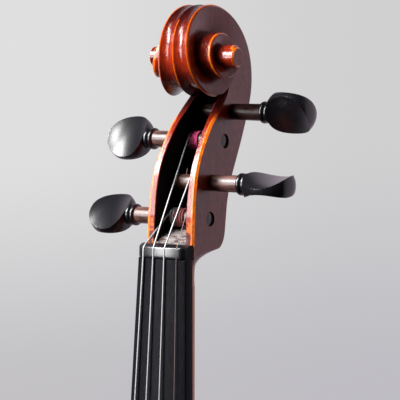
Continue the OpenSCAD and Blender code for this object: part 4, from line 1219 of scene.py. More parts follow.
def inset_curve(curve, distance):
    """A bout's curve moved in from the edge."""
    made = []
    last = len(curve) - 1
    for i, point in enumerate(curve):
        ahead = (curve[min(i + 1, last)] - curve[max(i - 1, 0)]).normalized()
        if abs(point.x) < 0.001:
            ahead = Vector((1 if i == 0 else -1, 0))
        made.append(point + distance * Vector((ahead.y, -ahead.x)))
    return made


PLATE_MARGIN = 7.0
# Room round the neck's foot, the saddle and the end button
JOINT_GAP = 0.05


def arch_half(v):
    """Half the width over which the arch rises, at a height on the body."""
    body = bpy.context.scene.violin_body
    long = mm(body.body_length)
    upper_at, middle_at, lower_at = (long * share for share in BOUTS)
    upper = mm(body.upper_width) / 2 - PLATE_MARGIN
    middle = mm(body.middle_width) / 2 - 5
    lower = mm(body.lower_width) / 2 - PLATE_MARGIN
    if v > upper_at:
        return upper * math.sqrt(max(0, 1 - ((v - upper_at) / (long - PLATE_MARGIN - upper_at)) ** 2))
    if v < lower_at:
        return lower * math.sqrt(max(0, 1 - ((lower_at - v) / (lower_at - PLATE_MARGIN)) ** 2))
    if v > middle_at:
        return lerp(middle, upper, smooth((v - middle_at) / (upper_at - middle_at)))
    return lerp(lower, middle, smooth((v - lower_at) / (middle_at - lower_at)))


def arch(x, v, peak):
    """Height of a plate over its glued face."""
    body = bpy.context.scene.violin_body
    long, edge = mm(body.body_length), mm(body.edge)
    share = min(1, abs(x) / max(0.01, arch_half(v)))
    end = min(1, abs(v - long / 2) / (long / 2 - PLATE_MARGIN))
    return edge + (peak - edge) * (1 - end**2.6) * (1 + math.cos(math.pi * share)) / 2


def foot_block(p, gap=0.0):
    """The foot of the neck, or the notch for it in the body."""
    body = bpy.context.scene.violin_body
    front = p.rib_front - 14
    button = mm(body.button)

    def half(y):
        return lerp(button, HEEL_HALF, (p.rib_back - y) / (p.rib_back - p.rib_front + 10)) + gap

    low = p.foot + p.length - mm(body.overhang) - mm(body.tenon) - gap
    bm = bmesh.new()
    shape = [(half(front), front), (half(p.rib_back), p.rib_back)]
    extruded(bm, shape + [(-x, y) for x, y in reversed(shape)], p.top + 2 - low)
    bmesh.ops.translate(bm, verts=bm.verts, vec=(0, 0, low))
    if not gap:
        geom = bm.verts[:] + bm.edges[:] + bm.faces[:]
        out = neck_to_shared() @ Vector((0, -1, 0))
        cut = bmesh.ops.bisect_plane(bm, geom=geom, plane_co=(0, 0, 0), plane_no=out, clear_outer=True)
        rim = [item for item in cut["geom_cut"] if isinstance(item, bmesh.types.BMEdge)]
        bmesh.ops.holes_fill(bm, edges=rim, sides=0)
        bmesh.ops.recalc_face_normals(bm, faces=bm.faces)
    return to_object(bm, "foot")


class VIOLIN_OT_plates(bpy.types.Operator):
    """Arches the front and the back, and cuts the f-holes"""

    bl_idname = "violin.plates"
    bl_label = "Front and back"

    def execute(self, context):
        p = plan()
        body = context.scene.violin_body
        front = to_object(self.plate(p, mm(body.top_arch), 3.0), "front", p.front)
        hole = self.f_hole(p)
        for side in (1, -1):
            tool = hole.copy()
            tool.data = hole.data.copy()
            if side < 0:
                tool.data.transform(Matrix.Scale(-1, 4, (1, 0, 0)))
                tool.data.flip_normals()
            context.scene.collection.objects.link(tool)
            combine(front, tool, "DIFFERENCE")
        bpy.data.objects.remove(hole)
        combine(front, foot_block(p, JOINT_GAP), "DIFFERENCE")
        combine(front, self.saddle_notch(p), "DIFFERENCE")
        back = to_object(self.plate(p, mm(body.back_arch), 3.5), "back", p.back)
        back.data.flip_normals()
        bm = bmesh.new()
        rim = ring_profile(mm(body.button), 0, p.edge - 0.1, 0.9)
        turned(bm, [(0, 0), *rim, (0, p.edge - 0.1)])
        knob = to_object(bm, "button", p.back @ Matrix.Translation((0, p.length + 2, 0)))
        knob.data.flip_normals()
        combine(back, knob, "UNION")
        edge = [p.front @ Vector((q.x, q.y, 0)) for q in self.dense_outline()]
        for piece, material, slot, node in (
            (front, "front_varnish", "varnished_spruce", "top_plate"),
            (back, "maple_varnish", "varnished_maple", "back_plate"),
        ):
            self.mark_edge(piece, edge)
            finish_piece(piece, [material], node, sharp=40)
        return {"FINISHED"}

    def dense_outline(self):
        points = full_outline()
        dense = []
        for a, b in zip(points, points[1:] + points[:1]):
            dense += [a.lerp(b, k / 8) for k in range(8)]
        return dense

    def mark_edge(self, piece, edge):
        """Stores each point's distance from the outline in millimetres, for the purfling."""
        tree = point_tree([Vector((point.x, 0, point.z)) for point in edge])
        layer = piece.data.attributes.new("from_edge", "FLOAT", "POINT")
        for i, vert in enumerate(piece.data.vertices):
            layer.data[i].value = tree.find((vert.co.x, 0, vert.co.z))[2] / MM

    def plate(self, p, peak, thick):
        """One plate lying on its glued face: X across, Y along the body, Z out."""
        body = bpy.context.scene.violin_body
        flange = mm(body.overhang) + mm(body.rib) + 3
        points = full_outline()

        def place(point, inward, share):
            spine = Vector((0, p.length * 0.17 + point.y * 0.66))
            run = spine - point
            return point + run * (inward + (run.length - inward) * share) / run.length

        rows = []
        for share in spread(1, 0, 11):
            row = [place(q, flange + 2, share) for q in points]
            rows.append([Vector((q.x, q.y, max(0, arch(q.x, q.y, peak) - thick))) for q in row])
        for inward in (flange, 0.9):
            rows.append([Vector((*place(q, inward, 0), 0)) for q in points])
        for inward, high in ((0.3, 0.08), (0, 0.3), (0, 0.7), (0.25, 0.9)):
            rows.append([Vector((*place(q, inward, 0), high * p.edge)) for q in points])
        for inward in (0.9, 1.8, 3, 4, 4.6, 5.2, 6, 7, 8, 9.5, 11):
            dip = 0.6 * math.sin(math.pi * inward / 11) ** 2
            row = [place(q, inward, 0) for q in points]
            rows.append([Vector((q.x, q.y, arch(q.x, q.y, peak) - dip)) for q in row])
        for share in (0.08, 0.16, 0.25, 0.35, 0.45, 0.56, 0.67, 0.78, 0.89, 1):
            row = [place(q, 11, share) for q in points]
            rows.append([Vector((q.x, q.y, arch(q.x, q.y, peak))) for q in row])
        bm = bmesh.new()
        patch(bm, [[*row, row[0]] for row in rows])
        bmesh.ops.remove_doubles(bm, verts=bm.verts, dist=0.004)
        bmesh.ops.dissolve_degenerate(bm, edges=bm.edges, dist=0.002)
        bmesh.ops.recalc_face_normals(bm, faces=bm.faces)
        return bm

    def f_hole(self, p):
        """Cutter for the treble f-hole, in place."""
        middle = Vector((0, p.bridge_v))

        def bow(count, *points):
            return bezier([middle + Vector(q) for q in points], count)

        right = bow(12, (24.6, 33.7), (28, 37.5), (35.5, 37), (38.4, 27.5))
        right += bow(10, (38.4, 27.5), (41.6, 17), (43, 5), (45.2, -9))[1:]
        right += bow(10, (45.2, -9), (47.2, -20), (49, -27), (52.4, -31))[1:]
        left = bow(12, (56.6, -33.9), (53, -37.4), (46.5, -37), (43.2, -27.5))
        left += bow(10, (43.2, -27.5), (40, -17), (39, -5), (36.6, 9))[1:]
        left += bow(10, (36.6, 9), (34.6, 20), (32.5, 27), (27.6, 31.6))[1:]
        bm = bmesh.new()
        extruded(bm, [tuple(q) for q in right + left], 22)
        piece = to_object(bm, "f_hole", p.front @ Matrix.Translation((0, 0, -1)))
        for x, y, radius in ((24.6, 30.5, 3.2), (56.6, -29.5, 4.4)):
            eye = p.front @ Matrix.Translation((*(middle + Vector((x, y))), 0))
            combine(piece, rod("f_eye", radius, -1.2, 21.3, 40, eye), "UNION")
        return piece

    def saddle_notch(self, p):
        fittings = bpy.context.scene.violin_fittings
        half = mm(fittings.saddle_width) / 2 + JOINT_GAP
        bm = bmesh.new()
        deep = mm(fittings.saddle_depth) + 1 + JOINT_GAP
        extruded(bm, [(-half, -1), (half, -1), (half, deep - 1), (-half, deep - 1)], 20)
        return to_object(bm, "notch", p.front @ Matrix.Translation((0, 0, -2)))


class VIOLIN_OT_ribs(bpy.types.Operator):
    """Bends the six ribs round the body"""

    bl_idname = "violin.ribs"
    bl_label = "Ribs"

    def execute(self, context):
        p = plan()
        body = context.scene.violin_body
        near = mm(body.overhang)
        far = near + mm(body.rib)
        place = Matrix.Translation((0, p.rib_back, p.foot)) @ LAID
        for part, curve in zip(("upper", "middle", "lower"), outline_curves()):
            shape = inset_curve(curve, near) + inset_curve(curve, far)[::-1]
            for side, name in ((1, "treble"), (-1, "bass")):
                bm = bmesh.new()
                points = [(side * q.x, q.y) for q in shape]
                extruded(bm, points if side > 0 else points[::-1], p.rib_back - p.rib_front)
                piece = to_object(bm, f"{part}_rib_{name}", place)
                if part == "upper":
                    combine(piece, foot_block(p, JOINT_GAP), "DIFFERENCE")
                if part == "lower":
                    radius = mm(context.scene.violin_fittings.shank_radius) + JOINT_GAP
                    spot = Matrix.Translation((0, p.knob_y, p.foot))
                    combine(piece, rod("bore", radius, -3, 12, 40, spot), "DIFFERENCE")
                node = f"rib_{part}_{name}"
                finish_piece(piece, ["rib_varnish"], node, sharp=30)
        return {"FINISHED"}


# Bridge, tailpiece and lower end


class VIOLIN_OT_bridge(bpy.types.Operator):
    """Cuts the bridge and thins it to its top"""

    bl_idname = "violin.bridge"
    bl_label = "Bridge"

    def execute(self, context):
        p = plan()
        fittings = context.scene.violin_fittings
        belly = p.rib_front - mm(context.scene.violin_body.top_arch)
        high = belly - p.bridge_top
        thick, thin = mm(fittings.bridge_foot), mm(fittings.bridge_top)
        bm = bmesh.new()
        extruded(bm, self.outline(p, mm(fittings.bridge_width) / 2, high), thick)
        place = Matrix.Translation((0, belly, p.bridge_z)) @ Matrix.Scale(-1, 4, (0, 1, 0))
        piece = to_object(bm, "bridge_plate", place @ Matrix.Translation((0, 0, -thick / 2)))
        piece.data.flip_normals()
        for x, share, radius in ((2.3, 0.64, 2.5), (-2.3, 0.64, 2.5), (0, 0.52, 1.7)):
            spot = Matrix.Translation((x, belly - share * high, p.bridge_z))
            combine(piece, rod("heart", radius, -5, 5, 32, spot), "DIFFERENCE")
        for i, name in enumerate(STRINGS):
            radius = string_width(name) / 2
            x = string_across(mm(context.scene.violin_board.bridge_spread), i)
            y = p.bridge_top + crown(p.board_radius, abs(x)) - radius * 0.4
            spot = Matrix.Translation((x, y, p.bridge_z))
            combine(piece, rod("groove", radius + 0.1, -5, 5, 20, spot), "DIFFERENCE")
        self.thin(piece, p, belly, high, thick, thin)
        soften(piece, 0.25, 2, 40)
        finish_piece(piece, ["bridge_wood"], "bridge", sharp=35)
        return {"FINISHED"}

    def thin(self, piece, p, belly, high, thick, thin):
        """Draws the two faces together towards the top."""
        for vert in piece.data.vertices:
            up = (belly - vert.co.y / MM) / high
            middle = p.bridge_z * MM
            vert.co.z = middle + (vert.co.z - middle) * lerp(1, thin / thick, max(0, up))

    def outline(self, p, w, high):
        """The bridge from the front: arch, foot, ankle, kidney cut, shoulder and top."""
        peak = mm(bpy.context.scene.violin_body.top_arch)

        def foot(x):
            return arch(x, p.bridge_v, peak) - peak + 0.15

        inner = [(0, 10), (4, 9.6), (7.4, 7.4), (w - 10.6, 3.4)]
        sole = [(x, foot(x)) for x in spread(w - 11.5, w, 9)]
        leg = [(w, 1.8), (w - 4, 3.6), (w - 5.8, 7), (w - 5.6, 11.6), (w - 9.4, 12.8), (w - 10.2, 15)]
        leg += [(w - 8.4, 16.6), (w - 4.4, 15.4), (w - 1, 16.6), (w - 0.6, 19.5)]
        leg += [(w - 2.6, high * 0.78)]
        reach = mm(bpy.context.scene.violin_board.bridge_spread) / 2 + 2
        top = [(x, high - crown(p.board_radius, x)) for x in spread(reach, 0, 12)]
        half = self.curved(inner) + sole + self.curved(leg) + top
        return half + [(-x, y) for x, y in reversed(half[1:-1])]

    def curved(self, points):
        knots = [Vector(q) for q in points]
        return [tuple(spline(knots, t)) for t in spread(0, len(knots) - 1, (len(knots) - 1) * 4 + 1)]


# Radius of the tailpiece's round outside, and its wall
TAIL_RADIUS = 38.0
TAIL_WALL = 4.0
# Where the two ends of the loop lie in the tailpiece: from its middle and under its top
LOOP_HALF = 4.5
LOOP_DEEP = 4.6


class VIOLIN_OT_fittings(bpy.types.Operator):
    """Makes the tailpiece, its loop, the saddle and the end button"""

    bl_idname = "violin.fittings"
    bl_label = "Tailpiece, saddle and end button"

    def execute(self, context):
        p = plan()
        sizes = context.scene.violin_fittings
        self.tailpiece(p, sizes)
        self.loop(p, sizes)
        self.saddle(p, sizes)
        self.end_button(p, sizes)
        return {"FINISHED"}

    def tailpiece(self, p, sizes):
        wide, narrow, long = mm(sizes.tail_width), mm(sizes.tail_end), mm(sizes.tail_length)
        broad, slim = wide / 2, narrow / 2
        side = bezier([(0, 4.2), (wide * 0.25, 4.2), (broad - 1, 2), (broad, -2)], 12)
        side += bezier([(broad, -2), (broad + 0.3, -18), (slim + 3, -40), (slim + 2, -64)], 16)[1:]
        side += bezier([(slim + 2, -64), (slim + 0.6, -80), (slim, -90), (slim, 4.2 - long)], 8)[1:]
        half = [tuple(q) for q in side]
        bm = bmesh.new()
        extruded(bm, half + [(-x, y) for x, y in reversed(half[1:])], 11)
        upright = Matrix.Translation((0, 8.4, 0)) @ LAID
        piece = to_object(bm, "tail_board", p.tail @ upright)
        axis = p.tail @ Matrix.Translation((0, TAIL_RADIUS + 0.4, 0))
        combine(piece, rod("outside", TAIL_RADIUS, -long - 5, 12, 220, axis), "INTERSECT")
        inner = TAIL_RADIUS - TAIL_WALL
        combine(piece, rod("inside", inner, 14 - long, -8, 220, axis), "DIFFERENCE")
        strings_wide = mm(bpy.context.scene.violin_board.bridge_spread) * TAIL_SPREAD
        for i in range(3):
            x = string_across(strings_wide, i)
            hole = p.tail @ Matrix.Translation((x, 0, -9)) @ LAID
            combine(piece, rod("hole", 2.4, -20, 20, 32, hole), "DIFFERENCE")
            bm = bmesh.new()
            extruded(bm, [(x - 0.7, -9), (x + 0.7, -9), (x + 0.7, -1), (x - 0.7, -1)], 30)
            slit = p.tail @ Matrix.Translation((0, 15, 0)) @ LAID
            combine(piece, to_object(bm, "slit", slit), "DIFFERENCE")
            path = p.tail @ Matrix.Translation((x, 0.6, 0))
            radius = string_width(STRINGS[i]) / 2 + 0.9
            combine(piece, rod("path", radius, -15, 15, 24, path), "DIFFERENCE")
        for side_of in (-1, 1):
            spot = p.tail @ Matrix.Translation((side_of * LOOP_HALF, LOOP_DEEP, -long))
            radius = mm(sizes.loop_width) / 2 + 0.1
            combine(piece, rod("loop_hole", radius, -30, 30, 24, spot), "DIFFERENCE")
        soften(piece, 0.5, 3, 50)
        finish_piece(piece, ["fitting_black"], "tailpiece", sharp=32)

    def loop(self, p, sizes):
        wide, shank = mm(sizes.loop_width), mm(sizes.shank_radius)
        long, deep = mm(sizes.tail_length), mm(sizes.saddle_depth)
        over = p.saddle_top - wide / 2 - 0.1
        low = p.foot - wide / 2 - 0.4
        turn = shank + wide / 2 + 0.6
        level = p.foot + mm(bpy.context.scene.violin_body.overhang) - wide / 2 - 1
        side = [p.tail @ Vector((LOOP_HALF, LOOP_DEEP, up - long)) for up in (24, 2)]
        knots = (
            (4.6, over, p.foot + deep - 2),
            (4.7, over + 0.1, p.foot + 3),
            (4.8, over + 1.1, p.foot + 0.2),
            (4.9, over + 4, low),
            (turn, p.front_edge + 6, low + 0.3),
            (turn, p.knob_y - 4, level),
        )
        side += [Vector(q) for q in knots]
        bend = []
        for k in range(13):
            angle = math.pi * k / 12
            bend.append(Vector((turn * math.cos(angle), p.knob_y + turn * math.sin(angle), level)))
        knots = side + bend + mirrored(reversed(side))
        path = [spline(knots, t) for t in spread(0, len(knots) - 1, (len(knots) - 1) * 3 + 1)]
        bm = bmesh.new()
        cord(bm, path, wide / 2, 14)
        piece = to_object(bm, "tail_cord")
        finish_piece(piece, ["nylon"], "tail_loop", sharp=60)

    def saddle(self, p, sizes):
        wide, deep, corner = mm(sizes.saddle_width), mm(sizes.saddle_depth), 3.0
        shape = [(p.rib_front, 0), (p.rib_front, deep)]
        for first in (0, 90):
            for k in range(9):
                angle = math.radians(first + 90 * k / 8)
                middle = deep - corner if first == 0 else corner
                out = p.saddle_top + corner - corner * math.sin(angle)
                shape.append((out, middle + corner * math.cos(angle)))
        bm = bmesh.new()
        extruded(bm, shape, wide)
        lay = Matrix(((0, 0, 1, -wide / 2), (1, 0, 0, 0), (0, 1, 0, p.foot), (0, 0, 0, 1)))
        piece = to_object(bm, "saddle_block", lay)
        soften(piece, 0.8, 3, 60)
        finish_piece(piece, ["fitting_black"], "saddle", sharp=35)

    def end_button(self, p, sizes):
        shank, knob, long = mm(sizes.shank_radius), mm(sizes.knob_radius), mm(sizes.knob_length) - 0.01
        groove = mm(sizes.loop_width) + 1.4
        profile = [(0, 22), (shank - 22 / 30, 22), (shank, 0), (shank + 0.4, 0)]
        profile += [(shank + 0.4, 0.2 - groove), (shank + 0.6, -groove)]
        profile += [(knob - 0.8, -groove - 0.2), (knob - 0.2, -groove - 0.45)]
        profile += [(knob, -groove - 1), (knob, 3 - groove - long)]
        for k in range(1, 11):
            angle = math.radians(9 * k)
            profile.append((knob - 3 + 3 * math.cos(angle), 3 - groove - long - 3 * math.sin(angle)))
        profile += [(0, -groove - long)]
        bm = bmesh.new()
        turned(bm, profile)
        overhang = mm(bpy.context.scene.violin_body.overhang)
        piece = to_object(bm, "end_knob", Matrix.Translation((0, p.knob_y, p.foot + overhang)))
        finish_piece(piece, ["fitting_black"], "end_button", sharp=40)


CAD_FINISHES = {
    "steel": ("tuner_frame", "tuner_lever", "tuner_screw", "tuner_knob"),
    "plain_wood": (
        "upper_block", "lower_block", "block_upper_bass", "block_upper_treble", "block_lower_bass",
        "block_lower_treble", "linings_front", "linings_back", "bass_bar", "sound_post",
    ),
}  # fmt: skip


class VIOLIN_OT_inside(bpy.types.Operator):
    """Finishes the fine tuner and the pieces inside the body, which keep their CAD shapes"""

    bl_idname = "violin.inside"
    bl_label = "Fine tuner and inner pieces"

    def execute(self, context):
        for material, names in CAD_FINISHES.items():
            for name in names:
                mesh = frame["nodes"][name].data
                mesh.materials.clear()
                mesh.materials.append(bpy.data.materials[material])
        return {"FINISHED"}


# Studio


PHOTO_SIZE = 400
FOCAL_PIXELS = 2000.0
CAMERA_AT = Vector((0.47178, -0.68464, 0.13966))
CAMERA_RIGHT = Vector((0.83503, 0.54901, -0.03619))
CAMERA_FORWARD = Vector((-0.54830, 0.82487, -0.13761))
LIT_POINT = Vector((0, 0.02, 0.05))
# Direction from the head, distance, size and power of each soft box
LIGHTS = {
    "key": ((-0.51, -0.6, 0.61), 1.3, (0.45, 0.6), 38),
    "front": ((-0.47, -0.87, 0.14), 1.3, (0.5, 0.55), 14),
    "top": ((-0.2, -0.45, 0.87), 1.4, (0.36, 0.36), 17),
}
# Backdrop at the foot and at the top of the picture, on its left and on its right
BACKDROP_HEIGHTS = (-0.235, -0.1)
BACKDROP_ACROSS = (-0.09, 0.09)
BACKDROP_LEFT = ((0.54, 0.53, 0.55), (0.745, 0.742, 0.745))
BACKDROP_RIGHT = ((0.52, 0.51, 0.545), (0.63, 0.628, 0.635))
# What the varnish mirrors: a dim room in front and above, and a bright wall behind
DIM_ROOM = (0.015, 0.015, 0.016)
BRIGHT_WALL = (0.76, 0.65, 0.75)
WALL_BACK = (0.0, 0.45)
WALL_TOP = (0.45, 0.85)


def area_light(name, toward, distance, size, power):
    """A soft box that shines on the head from one direction."""
    light = bpy.data.lights.new(name, "AREA")
    light.shape = "RECTANGLE"
    light.size, light.size_y = size
    light.energy = power
    lamp = bpy.data.objects.new(name, light)
    lamp.visible_camera = False
    lamp.location = LIT_POINT + Vector(toward).normalized() * distance
    lamp.rotation_euler = (LIT_POINT - lamp.location).to_track_quat("-Z", "Y").to_euler()
    bpy.context.scene.collection.objects.link(lamp)


class VIOLIN_OT_stage(bpy.types.Operator):
    """Sets the camera, the soft lights, the floor and the backdrop"""

    bl_idname = "violin.stage"
    bl_label = "Stage"

    def execute(self, context):
        scene = context.scene
        camera = bpy.data.cameras.new("camera")
        camera.sensor_width = 36
        camera.lens = FOCAL_PIXELS / PHOTO_SIZE * camera.sensor_width
        eye = bpy.data.objects.new("camera", camera)
        forward = CAMERA_FORWARD.normalized()
        right = (CAMERA_RIGHT - forward * CAMERA_RIGHT.dot(forward)).normalized()
        up = right.cross(forward)
        turn = Matrix((right, up, -forward)).transposed().to_4x4()
        eye.matrix_world = Matrix.Translation(CAMERA_AT) @ turn
        scene.collection.objects.link(eye)
        scene.camera = eye
        self.floor()
        for name, setting in LIGHTS.items():
            area_light(name, *setting)
        scene.world = self.world()
        scene.view_settings.view_transform = "Standard"
        return {"FINISHED"}

    def floor(self):
        """A pale round floor under the end button."""
        bm = bmesh.new()
        bmesh.ops.create_circle(bm, cap_ends=True, segments=128, radius=1.2)
        bmesh.ops.translate(bm, verts=bm.verts, vec=(0, 0, CAD_BOX[0][2] - 0.0005))
        mesh = bpy.data.meshes.new("floor")
        bm.to_mesh(mesh)
        bm.free()
        mesh.materials.append(bpy.data.materials["paper"])
        ground = bpy.data.objects.new("floor", mesh)
        bpy.context.scene.collection.objects.link(ground)
        ground.visible_diffuse = False
        ground.visible_glossy = False

    def world(self):
        """A pale backdrop that is lighter above, in front of a dim room."""
        world = bpy.data.worlds.new("studio")
        world.use_nodes = True
        tree = world.node_tree
        tree.nodes.clear()
        place = add(tree, "ShaderNodeTexCoord").outputs["Generated"]
        split = add(tree, "ShaderNodeSeparateXYZ", Vector=place).outputs
        rise = span(tree, split["Z"], *BACKDROP_HEIGHTS)
        left = blend(tree, rise, *BACKDROP_LEFT)
        right = blend(tree, rise, *BACKDROP_RIGHT)
        across = add(tree, "ShaderNodeVectorMath", {"operation": "DOT_PRODUCT"})
        feed(tree, across.inputs[0], place)
        feed(tree, across.inputs[1], CAMERA_RIGHT)
        shown = blend(tree, span(tree, across.outputs["Value"], *BACKDROP_ACROSS), left, right)
        around = blend(tree, span(tree, split["Y"], *WALL_BACK), DIM_ROOM, BRIGHT_WALL)
        around = blend(tree, span(tree, split["Z"], *WALL_TOP), around, DIM_ROOM)
        seen = add(tree, "ShaderNodeLightPath").outputs["Is Camera Ray"]
        background = add(tree, "ShaderNodeBackground", Color=blend(tree, seen, around, shown))
        add(tree, "ShaderNodeOutputWorld", Surface=background.outputs["Background"])
        return world


# Materials


def feed(tree, socket, value):
    """Gives a socket a value, or the output that feeds it."""
    if isinstance(value, bpy.types.NodeSocket):
        tree.links.new(value, socket)
    elif socket.type == "RGBA":
        socket.default_value = (*value, 1)
    else:
        socket.default_value = value


def add(tree, kind, settings=None, **inputs):
    """A node with its settings and inputs."""
    made = tree.nodes.new(kind)
    for key, value in (settings or {}).items():
        setattr(made, key, value)
    for key, value in inputs.items():
        feed(tree, made.inputs[key.replace("_", " ")], value)
    return made


def blend(tree, share, first, second):
    """The colour between two colours."""
    mix = add(tree, "ShaderNodeMix", {"data_type": "RGBA"})
    for index, value in ((0, share), (6, first), (7, second)):
        feed(tree, mix.inputs[index], value)
    return mix.outputs[2]


def span(tree, value, low, high, start=0.0, end=1.0):
    """Runs from start to end while a value runs from low to high."""
    limits = {"From_Min": low, "From_Max": high, "To_Min": start, "To_Max": end}
    smoothed = {"interpolation_type": "SMOOTHSTEP"}
    return add(tree, "ShaderNodeMapRange", smoothed, Value=value, **limits).outputs["Result"]


def calc(tree, operation, first, second):
    """One step of arithmetic on two values."""
    step = add(tree, "ShaderNodeMath", {"operation": operation})
    feed(tree, step.inputs[0], first)
    feed(tree, step.inputs[1], second)
    return step.outputs[0]


def attribute(tree, name):
    return add(tree, "ShaderNodeAttribute", {"attribute_name": name}).outputs["Fac"]


def new_group(name, inputs, outputs):
    """A shader group with its sockets; returns the tree, what comes in and what goes out."""
    tree = bpy.data.node_groups.new(name, "ShaderNodeTree")
    for label, default in inputs.items():
        kind = "NodeSocketVector" if isinstance(default, tuple) else "NodeSocketFloat"
        socket = tree.interface.new_socket(label, in_out="INPUT", socket_type=kind)
        socket.default_value = default
    for label in outputs:
        tree.interface.new_socket(label, in_out="OUTPUT", socket_type="NodeSocketFloat")
    return tree, tree.nodes.new("NodeGroupInput").outputs, tree.nodes.new("NodeGroupOutput").inputs


def group(tree, name, **inputs):
    """Places a shader group and returns its outputs."""
    return add(tree, "ShaderNodeGroup", {"node_tree": bpy.data.node_groups[name]}, **inputs).outputs


def stretched(tree, scale):
    """Object coordinates multiplied along each axis."""
    place = add(tree, "ShaderNodeTexCoord").outputs["Object"]
    step = add(tree, "ShaderNodeVectorMath", {"operation": "MULTIPLY"})
    feed(tree, step.inputs[0], place)
    feed(tree, step.inputs[1], scale)
    return step.outputs["Vector"]


def noise(tree, vector, scale, detail):
    return add(tree, "ShaderNodeTexNoise", Vector=vector, Scale=scale, Detail=detail).outputs["Fac"]


def grain_group():
    """Streaks of grain, finer across the wood than along it, with repeats per metre."""
    tree, given, out = new_group("grain", {"Scale": (400.0, 400.0, 40.0)}, ["Shade"])
    streak = noise(tree, stretched(tree, given["Scale"]), 1.0, 4.0)
    feed(tree, out["Shade"], span(tree, streak, 0.3, 0.7))


def flame_group():
    """Bands of figure across the grain of maple."""
    tree, given, out = new_group("flame", {"Bands": 60.0, "Bend": 5.0}, ["Shade"])
    bands = {"wave_type": "BANDS", "bands_direction": "Z"}
    vector = stretched(tree, (1.0, 0.6, 1.0))
    wave = add(tree, "ShaderNodeTexWave", bands, Vector=vector, Detail=2.0, Detail_Scale=0.6)
    feed(tree, wave.inputs["Scale"], given["Bands"])
    feed(tree, wave.inputs["Distortion"], given["Bend"])
    feed(tree, out["Shade"], wave.outputs["Fac"])


def wear_group():
    """A ragged mask over a smooth value that is one where the surface is rubbed most."""
    tree, given, out = new_group("wear", {"Edge": 0.0, "Ragged": 900.0, "Spread": 0.8}, ["Mask"])
    rough = noise(tree, stretched(tree, (1.0, 1.0, 1.0)), given["Ragged"], 4.0)
    shift = calc(tree, "MULTIPLY", calc(tree, "SUBTRACT", rough, 0.5), given["Spread"])
    feed(tree, out["Mask"], span(tree, calc(tree, "ADD", given["Edge"], shift), 0.35, 0.7))


def speckle_group():
    """Fine unevenness of a varnished or polished surface."""
    tree, given, out = new_group("speckle", {"Fine": 1500.0}, ["Shade", "Height"])
    place = stretched(tree, (1.0, 1.0, 1.0))
    fine = noise(tree, place, given["Fine"], 3.0)
    broad = noise(tree, place, calc(tree, "MULTIPLY", given["Fine"], 0.15), 2.0)
    feed(tree, out["Height"], calc(tree, "ADD", fine, calc(tree, "MULTIPLY", broad, 1.5)))
    feed(tree, out["Shade"], span(tree, fine, 0.35, 0.65))


def new_material(name):
    """A material with one shader; returns its tree and the shader."""
    material = bpy.data.materials.new(name)
    material.use_nodes = True
    return material.node_tree, material.node_tree.nodes["Principled BSDF"]


def settle(shader, **values):
    """Sets the shader's own sockets."""
    for key, value in values.items():
        feed(shader.id_data, shader.inputs[key.replace("_", " ")], value)


def roughen(tree, shader, height, distance):
    """Raises the surface by a height that a texture gives."""
    bump = add(tree, "ShaderNodeBump", Strength=1.0, Distance=distance * MM, Height=height)
    tree.links.new(bump.outputs["Normal"], shader.inputs["Normal"])


def polish(tree, shader, fine, smoothest, roughest, depth=0.0):
    """A gloss that varies with a fine speckle, which may also raise the surface."""
    speckle = group(tree, "speckle", Fine=fine)
    rough = span(tree, speckle["Shade"], 0.0, 1.0, smoothest, roughest)
    feed(tree, shader.inputs["Roughness"], rough)
    if depth:
        roughen(tree, shader, speckle["Height"], depth)


def deeper(tint, share):
    """A darker tone of a colour."""
    return tuple(share * part for part in tint)


def paint(tree, shader, shade, tint, share):
    """Colours a surface from a darker tone up to its tint, as a pattern goes."""
    feed(tree, shader.inputs["Base Color"], blend(tree, shade, deeper(tint, share), tint))


def strip(tree, value, low, high, soft=0.1):
    """One between two values and nothing outside them."""
    after = span(tree, value, low, low + soft)
    before = span(tree, value, high, high + soft, 1.0, 0.0)
    return calc(tree, "MULTIPLY", after, before)


